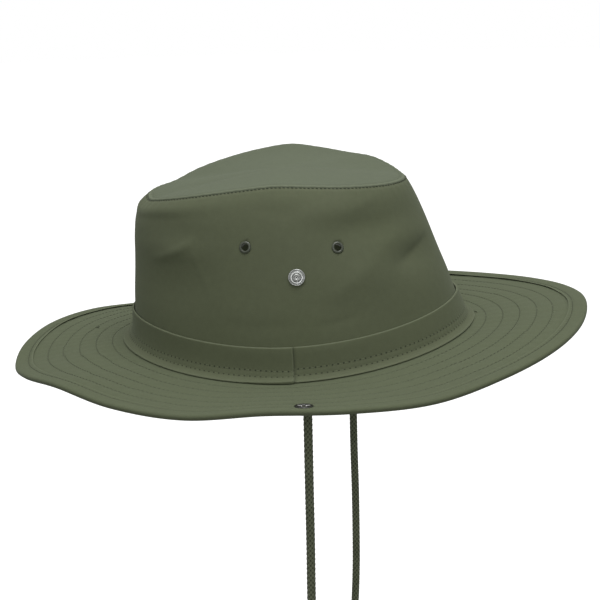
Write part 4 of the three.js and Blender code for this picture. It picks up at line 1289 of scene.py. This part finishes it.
def make_hem(material):
    """Hem strip folded round the edge. Its free inner edge stands a little open on the right."""
    phi = stations(HEM_STATIONS)
    edge = brim_point(phi, np.zeros_like(phi))
    back = brim_point(phi, np.full_like(phi, HEM_WIDTH))
    run = unit(back - edge)
    two = np.stack([back, (edge + back) / 2, edge], 1)
    normal = grid_normals(two, flip=True)[:, 1]
    half = BRIM_THICK / 2
    radius = half + GAP + HEM_THICK
    top = [10.4, 10.25, 10.0, 9.7, 9.3, HEM_ROW - 0.4, 7.8, 7.2, 6.4, 5.2, 4.0, 2.8, 1.8]
    arc = np.linspace(math.pi / 2, -math.pi / 2, 11)
    low = [1.8, 3.0, 4.5, 6.0, 7.2, 7.8, 8.3, 9.0, 9.7, 9.9]
    into = np.concatenate([top, half - radius * np.cos(arc), low])
    high = [np.full(len(top), radius), radius * np.sin(arc), np.full(len(low), -radius)]
    high = np.concatenate(high)
    reach = np.concatenate([[0], np.cumsum(np.hypot(np.diff(into), np.diff(high)))])
    right = smoothstep(0.05, 0.45, -np.sin(phi))
    waves = HEM_OPEN_WAVE * np.sin(3 * phi + 1)
    lift = right * (HEM_OPEN + waves + HEM_OPEN_FINE * np.sin(17 * phi))
    wander = HEM_WANDER * np.sin(5 * phi) + HEM_WANDER_FINE * np.sin(13 * phi + 2)
    into = np.broadcast_to(into, (len(phi), len(into))).copy()
    high = np.broadcast_to(high, into.shape).copy()
    on_top = np.broadcast_to(np.arange(into.shape[1]) < len(top), into.shape)
    from_edge = into + GAP + HEM_THICK
    stitched = mound(from_edge - HEM_ROW, HEM_CHANNEL_WIDTH)
    flat = smoothstep(2.0, 4.0, from_edge)
    side = np.where(high > 0, 1.0, -1.0)
    pull = np.sin(phi * HEM_PUCKERS + 4 * np.sin(6 * phi))[:, None]
    puckered = 0.35 + 0.65 * np.exp(-((np.mod(phi, TAU) - PUCKERED_AT) ** 2) / 0.06)[:, None]
    high -= side * HEM_CHANNEL * stitched * flat
    high += side * HEM_PUCKER * pull * puckered * mound(from_edge - HEM_ROW, HEM_PUCKER_WIDTH) * flat
    loose = ripple(phi[:, None], from_edge / 6, HEM_LOOSE, count=8, turns=30, rows=1.5)
    high += side * loose * flat
    free = np.where(on_top, smoothstep(HEM_ROW, 10.9, from_edge), 0)
    high += free * lift[:, None]
    into += free * wander[:, None]
    middle = edge - normal * half
    p = middle[:, None] + run[:, None] * into[..., None] + normal[:, None] * high[..., None]
    n = -grid_normals(p)
    away = np.minimum(reach, reach[-1] - reach)[None]
    rim = turn_edge(away, HEM_THICK / 2)
    outer = p - n * rim[..., None]
    inner = p - n * (HEM_THICK - rim)[..., None]
    i = int(np.argmin(np.abs(from_edge[0] - HEM_ROW) + 100 * ~on_top[0]))
    j = int(np.argmin(np.abs(from_edge[0] - HEM_ROW) + 100 * on_top[0]))
    rows = cloth_map(p[:, i], from_edge)
    round_it = np.broadcast_to(reach, into.shape)
    weave = cloth_map(p[:, i], round_it)
    # Painted highlight and wear on the hem's free edge; painted shade in its stitched channel and under
    # its rolled rim.
    pale = 0.8 * mound(round_it, 0.5)
    row_shade = 0.1 * stitched * flat * (1 - 0.7 * pressed(phi)[:, None])
    rim_shade = 0.25 * mound(high + radius * 0.2, 0.9) * (1 - flat)
    values = {"edge": pale, "painted_shade": row_shade + rim_shade}
    obj = shell("brim_hem_cloth", outer, inner, {"rows": rows, "weave": weave}, values, flip=True)
    finish_piece(obj, material, "brim_cloth", "brim_binding")
    sunk = HEM_PRESSED * pressed(phi)[:, None]
    return [(p[:, i] - n[:, i] * sunk, n[:, i]), (p[:, j], n[:, j])]


def make_vent(key, spot, normal, material):
    """Vent: a rolled ring outside, its barrel through the wall and its turned-over back."""
    bore, rim, back = VENT_BORE, VENT_RADIUS, -CLOTH
    ring = [(bore, back - 0.5), (bore, 0.35), (bore + 0.45, 0.75), (rim - 0.6, 0.7)]
    ring += [(rim, 0.2), (rim - 0.1, -0.32), (bore + 0.4, -0.32), (bore + 0.4, back - 0.1)]
    ring += [(rim - 0.4, back - 0.2), (rim - 0.4, back - 0.6), (bore + 0.3, back - 0.85)]
    obj = lathe("vent_ring_" + key, bead(ring, 2), spot, normal, 44)
    finish_piece(obj, material, "vent_enamel", "eyelet_" + key)


def make_stud(spot, normal, material):
    """Press stud: a domed post in a plain ringed face, riveted through the wall."""
    post, rim, back = STUD_POST, STUD_RADIUS, -CLOTH
    face = [(AXIS_RADIUS, back - 1.2), (AXIS_RADIUS, 1.7), (post * 0.5, 1.7)]
    face += [(post * 0.62, 2.35), (post * 0.92, 2.3), (post, 1.9), (post * 0.86, 1.0)]
    face += [(post * 0.95, 0.4), (post + 0.4, 0.35), (post + 0.75, 0.85), (rim - 1.35, 0.85)]
    face += [(rim - 1.15, 0.4), (rim - 0.95, 0.4), (rim - 0.65, 1.1), (rim - 0.12, 0.95)]
    face += [(rim, 0.3), (rim - 0.2, -0.25), (RIVET_RADIUS, -0.25), (RIVET_RADIUS, back - 0.3)]
    face += [(rim * 0.8, back - 0.35), (rim * 0.8, back - 0.9), (rim * 0.6, back - 1.2)]
    obj = lathe("press_stud", bead(face, 3), spot, normal, 64)
    finish_piece(obj, material, "snap_steel", "crown_stud")


def make_snap(material, wire_metal):
    """Snap through the hem: a flat open ring with two spring wires above, a cap below."""
    phi = math.acos(-SNAP_BACK / BRIM_REAR)
    spot, ahead, inward, normal = brim_frame(phi, SNAP_INSET - HEM_THICK - GAP)
    spot = spot + normal * (GAP + HEM_THICK)
    bore, rim = SNAP_BORE, SNAP_RADIUS
    ring = [(bore, -0.4), (bore, 0.05), (bore + 0.3, 0.15), (rim - 1.8, 0.15), (rim - 1.4, 0.5)]
    ring += [(rim - 0.7, 0.6), (rim - 0.1, 0.4), (rim, 0.0), (rim - 0.3, -0.2)]
    socket = lathe("brim_snap_ring", bead(ring, 3), spot, normal, 56)
    wire = [(AXIS_RADIUS, -WIRE_HALF), (WIRE_RADIUS, -WIRE_HALF)]
    wire += [(WIRE_RADIUS, WIRE_HALF), (AXIS_RADIUS, WIRE_HALF)]
    wires = []
    for sign in (-1, 1):
        middle = spot + ahead * sign * WIRE_OUT + normal * WIRE_UP
        axis = unit(ahead * sign + inward)
        wires.append(lathe("brim_snap_wire", bead(wire, 2), middle, axis, 12))
        wires[-1].data.materials.append(wire_metal)
    finish_piece(socket, material, "snap_steel", "brim_snap_socket")
    join_into(socket, wires)
    under, rim = -(BRIM_THICK + 2 * (GAP + HEM_THICK)), CAP_RADIUS
    cap = [(AXIS_RADIUS, 0.1), (bore - 0.05, 0.1), (bore - 0.05, -0.45), (RIVET_RADIUS, -0.6)]
    cap += [(RIVET_RADIUS, under), (rim - 0.3, under - 0.05), (rim, under - 0.3)]
    cap += [(rim - 0.5, under - 0.7), (rim * 0.6, under - 1.0), (AXIS_RADIUS, under - 1.1)]
    cover = lathe("brim_snap_cap_cover", bead(cap, 3), spot, normal, 56)
    finish_piece(cover, material, "snap_steel", "brim_snap_cap")


def join_into(target, others):
    """Several pieces made one, under the first one's name."""
    bpy.context.view_layer.update()
    with bpy.context.temp_override(active_object=target, selected_editable_objects=[target, *others]):
        bpy.ops.object.join()


def smooth_line(points, steps=60):
    """Centripetal curve through a line's set points."""
    ends = [2 * points[0] - points[1]], [2 * points[-1] - points[-2]]
    p = np.concatenate([ends[0], points, ends[1]])
    span = np.sqrt(np.linalg.norm(np.diff(p, axis=0), axis=1))[:, None]
    slope = np.diff(p, axis=0) / span
    tangent = slope[:-1] + slope[1:] - (p[2:] - p[:-2]) / (span[:-1] + span[1:])
    t = np.linspace(0, 1, steps, endpoint=False)[:, None]
    line = []
    for k in range(len(points) - 1):
        leave, arrive = tangent[k] * span[k + 1], tangent[k + 1] * span[k + 1]
        line.append(cubic(t, points[k], leave, points[k + 1], arrive))
    return np.concatenate([*line, points[-1:]])


def cord_line():
    """The loop's line from tab to tab at even steps, and its length."""
    ends = []
    for side in ("left", "right"):
        low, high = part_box("cord_tab_" + side)
        foot = Vector(((low.x + high.x) / 2, (low.y + high.y) / 2, low.z))
        ends.append(np.array(foot) / MM - [0, 0, CORD_MEETS_TAB / 2])
    p = smooth_line(np.array([ends[0], *(np.array(CORD_ROUTE) / MM), ends[1]]))
    step = np.linalg.norm(np.diff(p, axis=0), axis=1)
    far = np.concatenate([[0], np.cumsum(step)])
    at = np.linspace(0, far[-1], int(far[-1] / CORD_STEP) + 1)
    return np.stack([np.interp(at, far, p[:, k]) for k in range(3)], -1), far[-1]


def make_cord(material):
    """Round braid: two families of strands that wind opposite ways, over and under."""
    line, length = cord_line()
    for _ in range(CORD_ROUNDS):
        line[1:-1] = (line[:-2] + 2 * line[1:-1] + line[2:]) / 4
    run = unit(np.gradient(line, axis=0))
    side = np.zeros_like(run)
    side[0] = unit(np.cross(run[0], [0, 1.0, 0]))
    for k in range(1, len(run)):
        s = side[k - 1] - run[k] * (side[k - 1] @ run[k])
        side[k] = s / np.linalg.norm(s)
    other = np.cross(run, side)
    turn = round_turn(CORD_SIDES)
    s = np.linspace(0, length, len(line))[:, None]
    a = (turn[None] / TAU + s / BRAID_TURN) * BRAID_STRANDS
    b = (turn[None] / TAU - s / BRAID_TURN) * BRAID_STRANDS
    m, n = np.floor(a), np.floor(b)

    def strand(x):
        return np.sqrt(np.maximum(0, 1 - (2 * (x - np.floor(x)) - 1) ** 2))

    over = 0.5 + 0.5 * np.sin(math.pi * (b + m))
    under = 0.5 - 0.5 * np.sin(math.pi * (a + n))
    high = np.maximum(strand(a) * (0.3 + 0.7 * over), strand(b) * (0.3 + 0.7 * under))
    ends = np.minimum(s, length - s)
    radius = (CORD_DIAMETER / 2 - BRAID_DEEP + BRAID_RISE * high) * (1 - 0.12 * np.exp(-ends / 2))
    rings = line[:, None] + radius[..., None] * spokes(CORD_SIDES, side, other)
    points = np.concatenate([rings.reshape(-1, 3), line[:1], line[-1:]])
    quads = net(len(line), CORD_SIDES, closed_rings=False)
    k = np.arange(CORD_SIDES)
    last = (len(line) - 1) * CORD_SIDES
    tris = np.concatenate([fan(len(points) - 2, k, flip=True), fan(len(points) - 1, last + k)])
    values = {"over": np.concatenate([high.ravel(), [0.3, 0.3]])}
    obj = new_mesh("chin_cord_braid", place(points, pitched=False), quads, tris, None, values)
    finish_piece(obj, material, "cord_braid", "chin_cord")
    path = place(line[:: max(1, len(line) // CORD_PATH_ROWS)], pitched=False).tolist()
    path.append(place(line[-1], pitched=False).tolist())


def squared(v):
    """Sine or cosine bent so that an oval becomes a box with round corners."""
    return np.sign(v) * np.abs(v) ** TAB_SQUARE


def make_tab(side, material):
    """Folded cloth tab that the cord's end is sewn into."""
    low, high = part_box("cord_tab_" + side)
    centre, size = (low + high) / 2 / MM, (high - low) / MM
    turn = np.linspace(0, TAU, 49)[:-1]
    rows = np.linspace(-1, 1, 21)
    ring = 1 - TAB_END * np.abs(rows) ** 10
    pinch = 1 - TAB_WAIST * np.exp(-((rows + 0.45) / 0.2) ** 2)
    x = size.x / 2 * TAB_FILL * squared(np.cos(turn))[:, None] * (ring * pinch)[None]
    y = size.y / 2 * TAB_FILL * squared(np.sin(turn))[:, None] * (1 - TAB_WAIST * np.abs(rows) ** 10)[None]
    z = size.z / 2 * rows[None] + 0 * x
    p = stack(centre.x + x, centre.y + y, centre.z + z)
    points = np.concatenate([p.reshape(-1, 3), [p[:, 0].mean(0)], [p[:, -1].mean(0)]])
    n, m = p.shape[:2]
    quads = net(n, m, closed_sides=False, flip=True)
    foot = np.arange(n) * m
    tris = np.concatenate([fan(n * m, foot, flip=True), fan(n * m + 1, foot + m - 1)])
    order = np.concatenate([quads.ravel(), tris.ravel()])
    uv = points[order][:, 1:] - np.array([centre.y, centre.z])
    values = {"edge": np.zeros(len(points)), "painted_shade": np.zeros(len(points))}
    name = "cord_tab_cloth_" + side
    obj = new_mesh(name, place(points, pitched=False), quads, tris, {"weave": uv}, values)
    finish_piece(obj, material, "band_cloth", "cord_tab_" + side)


def make_stitches(name, rows, material, slot, high=STITCH_HIGH):
    """All the stitches of one piece of cloth."""
    made = [thread_row(*row, high=high) for row in rows]
    finish_piece(join_rows(name, made), material, slot)


def make_tip_seam(wall_row, tip_edge, material):
    """Short stitches in the groove between wall and tip, and the folded cloth behind them, in a near-black
    colour that paints the groove's shade.
    """
    outer, normal, seam = wall_row
    line = (seam + tip_edge) / 2 * 0.35 + outer * 0.65
    row = thread_row(
        line,
        normal,
        low=0.3,
        high=0.2,
        radius=TIP_SEAM_RADIUS,
        slant=TIP_SEAM_SLANT,
        pitch=TIP_SEAM_PITCH,
    )
    # A dark tube behind the stitches: painted shade in the groove.
    folded = ring_tube((seam + tip_edge) / 2 - normal * SEAM_FOLD, SEAM_FOLD)
    obj = join_rows("tip_seam_stitches", [row, folded])
    finish_piece(obj, material, "crown_cloth")


def make_tacks(material):
    """Loose thread ends on the brim's top."""
    rows = []
    for phi_deg, inset, heading_deg, length, rise in TACKS:
        middle, ahead, inward, normal = brim_frame(math.radians(phi_deg), inset)
        heading = math.radians(heading_deg)
        run = ahead * math.cos(heading) + inward * math.sin(heading)
        across = np.cross(run, normal)
        along = np.array([-0.5, -0.3, 0.0, 0.3, 0.5]) * length
        bow = rise * np.array([-0.4, 0.8, 1.0, 0.8, -0.4])
        p = middle + along[:, None] * run + bow[:, None] * normal
        flat = np.ones((1, 5, 1))
        rows.append(tubes(p[None], normal * flat, across * flat, THREAD_RADIUS * 1.3))
    finish_piece(join_rows("brim_thread_ends", rows), material, "brim_cloth")


def make_stage():
    """White floor and a sky that is brighter overhead, both white to the camera."""
    bpy.ops.mesh.primitive_circle_add(
        vertices=96, radius=FLOOR_RADIUS, fill_type="NGON", location=(0, 0, FLOOR_Z)
    )
    floor = bpy.context.object
    floor.name = "floor"
    floor.data.materials.append(floor_material())
    floor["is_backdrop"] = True
    world = bpy.data.worlds.new("Studio")
    world.use_nodes = True
    g = Graph(world.node_tree)
    back = world.node_tree.nodes["Background"]
    split = g.node("ShaderNodeSeparateXYZ")
    g.feed(g.node("ShaderNodeTexCoord").outputs["Generated"], split.inputs[0])
    sky = g.ramp(split.outputs["Z"], -0.1, 0.9, SKY_LOW, SKY_HIGH, smooth=True)
    seen = g.node("ShaderNodeLightPath").outputs["Is Camera Ray"]
    g.fill(back.inputs, Strength=g.math("MAXIMUM", seen, sky), Color=(1, 1, 1, 1))
    bpy.context.scene.world = world


def add_light(name, place_at, size, power):
    data = bpy.data.lights.new(name, "AREA")
    data.shape = "DISK"
    data.size = size
    data.energy = power
    obj = add_object(name, data)
    obj.location = place_at
    aim = Vector(LIT) - Vector(place_at)
    obj.rotation_euler = aim.to_track_quat("-Z", "Y").to_euler()


def make_camera():
    """Camera at the photograph's place, turned to its azimuth, elevation and roll."""
    a, e, r = (math.radians(x) for x in (CAMERA_AZIMUTH, CAMERA_ELEVATION, CAMERA_ROLL))
    back = Vector((math.sin(a) * math.cos(e), -math.cos(a) * math.cos(e), math.sin(e)))
    level = Vector((math.cos(a), math.sin(a), 0))
    right = level * math.cos(r) + back.cross(level) * math.sin(r)
    up = back.cross(right)
    data = bpy.data.cameras.new("Camera")
    data.sensor_width = CAMERA_SENSOR
    data.lens = CAMERA_LENS
    obj = add_object("Camera", data)
    turn = Matrix((right, up, back)).transposed()
    obj.matrix_world = Matrix.Translation(CAMERA_PLACE) @ turn.to_4x4()
    bpy.context.scene.camera = obj


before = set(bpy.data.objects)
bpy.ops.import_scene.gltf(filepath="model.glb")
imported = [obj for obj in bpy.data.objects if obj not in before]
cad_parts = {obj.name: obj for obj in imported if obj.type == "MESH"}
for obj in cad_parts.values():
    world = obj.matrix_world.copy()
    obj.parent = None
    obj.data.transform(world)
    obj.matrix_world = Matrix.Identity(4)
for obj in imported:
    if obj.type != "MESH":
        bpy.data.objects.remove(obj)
cad_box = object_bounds()
for stale in ("Cube", "Light", "Camera"):
    if stale in bpy.data.objects:
        bpy.data.objects.remove(bpy.data.objects[stale])
make_camera()
make_stage()
bpy.context.scene.view_settings.view_transform = "Standard"

make_weave_group()
make_needle_group()
make_tone_group()
make_scuff_group()
crown_cotton = cotton("Crown cotton", WALL_OLIVE)
lit_tip_cotton = cotton("Tip cotton", LIT_TIP_OLIVE)
band_holes = (BAND_LOW_ROW, BAND_HIGH_ROW - BAND_LOW_ROW, 1.0, BAND_NEEDLE_HOLE)
brim_holes = (BRIM_FIRST_ROW, BRIM_ROW_STEP, BRIM_ROW_COUNT - 1.0, NEEDLE_HOLE)
hem_holes = (HEM_ROW, 40.0, 0.0, NEEDLE_HOLE)
band_cotton = cotton("Band cotton", WALL_OLIVE, band_holes)
brim_cotton = cotton("Brim cotton", BRIM_OLIVE, brim_holes)
hem_cotton = cotton("Hem cotton", BRIM_OLIVE, hem_holes)
thread = thread_material("Sewing thread", THREAD_OLIVE)
band_thread = thread_material("Band thread", WALL_OLIVE)
seam_thread = thread_material("Seam thread", SEAM_OLIVE)
steel = steel_material()
enamel = enamel_material()

make_cord(cord_material())
wall_spots, wall_row = make_crown_side(crown_cotton)
tip_edge = make_tip(lit_tip_cotton)
band_rows = make_band(band_cotton)
brim_rows = make_brim(brim_cotton)
hem_rows = make_hem(hem_cotton)
for vent in VENTS:
    make_vent(vent, *wall_spots[vent], enamel)
make_stud(*wall_spots["stud"], steel)
make_snap(gunmetal_material(), wire_material())
for tab_side in ("left", "right"):
    make_tab(tab_side, band_cotton)
make_tip_seam(wall_row, tip_edge, seam_thread)
make_stitches("band_stitches", band_rows, band_thread, "band_cloth", BAND_STITCH_HIGH)
make_stitches("brim_stitches", brim_rows, thread, "brim_cloth")
make_tacks(seam_thread)
make_stitches("hem_stitches", hem_rows, thread, "brim_cloth")

add_light("Key", *KEY)
add_light("Fill", *FILL)

boxes = {"cad": cad_box, "visual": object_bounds()}
{key: [list(corner) for corner in box] for key, box in boxes.items()}
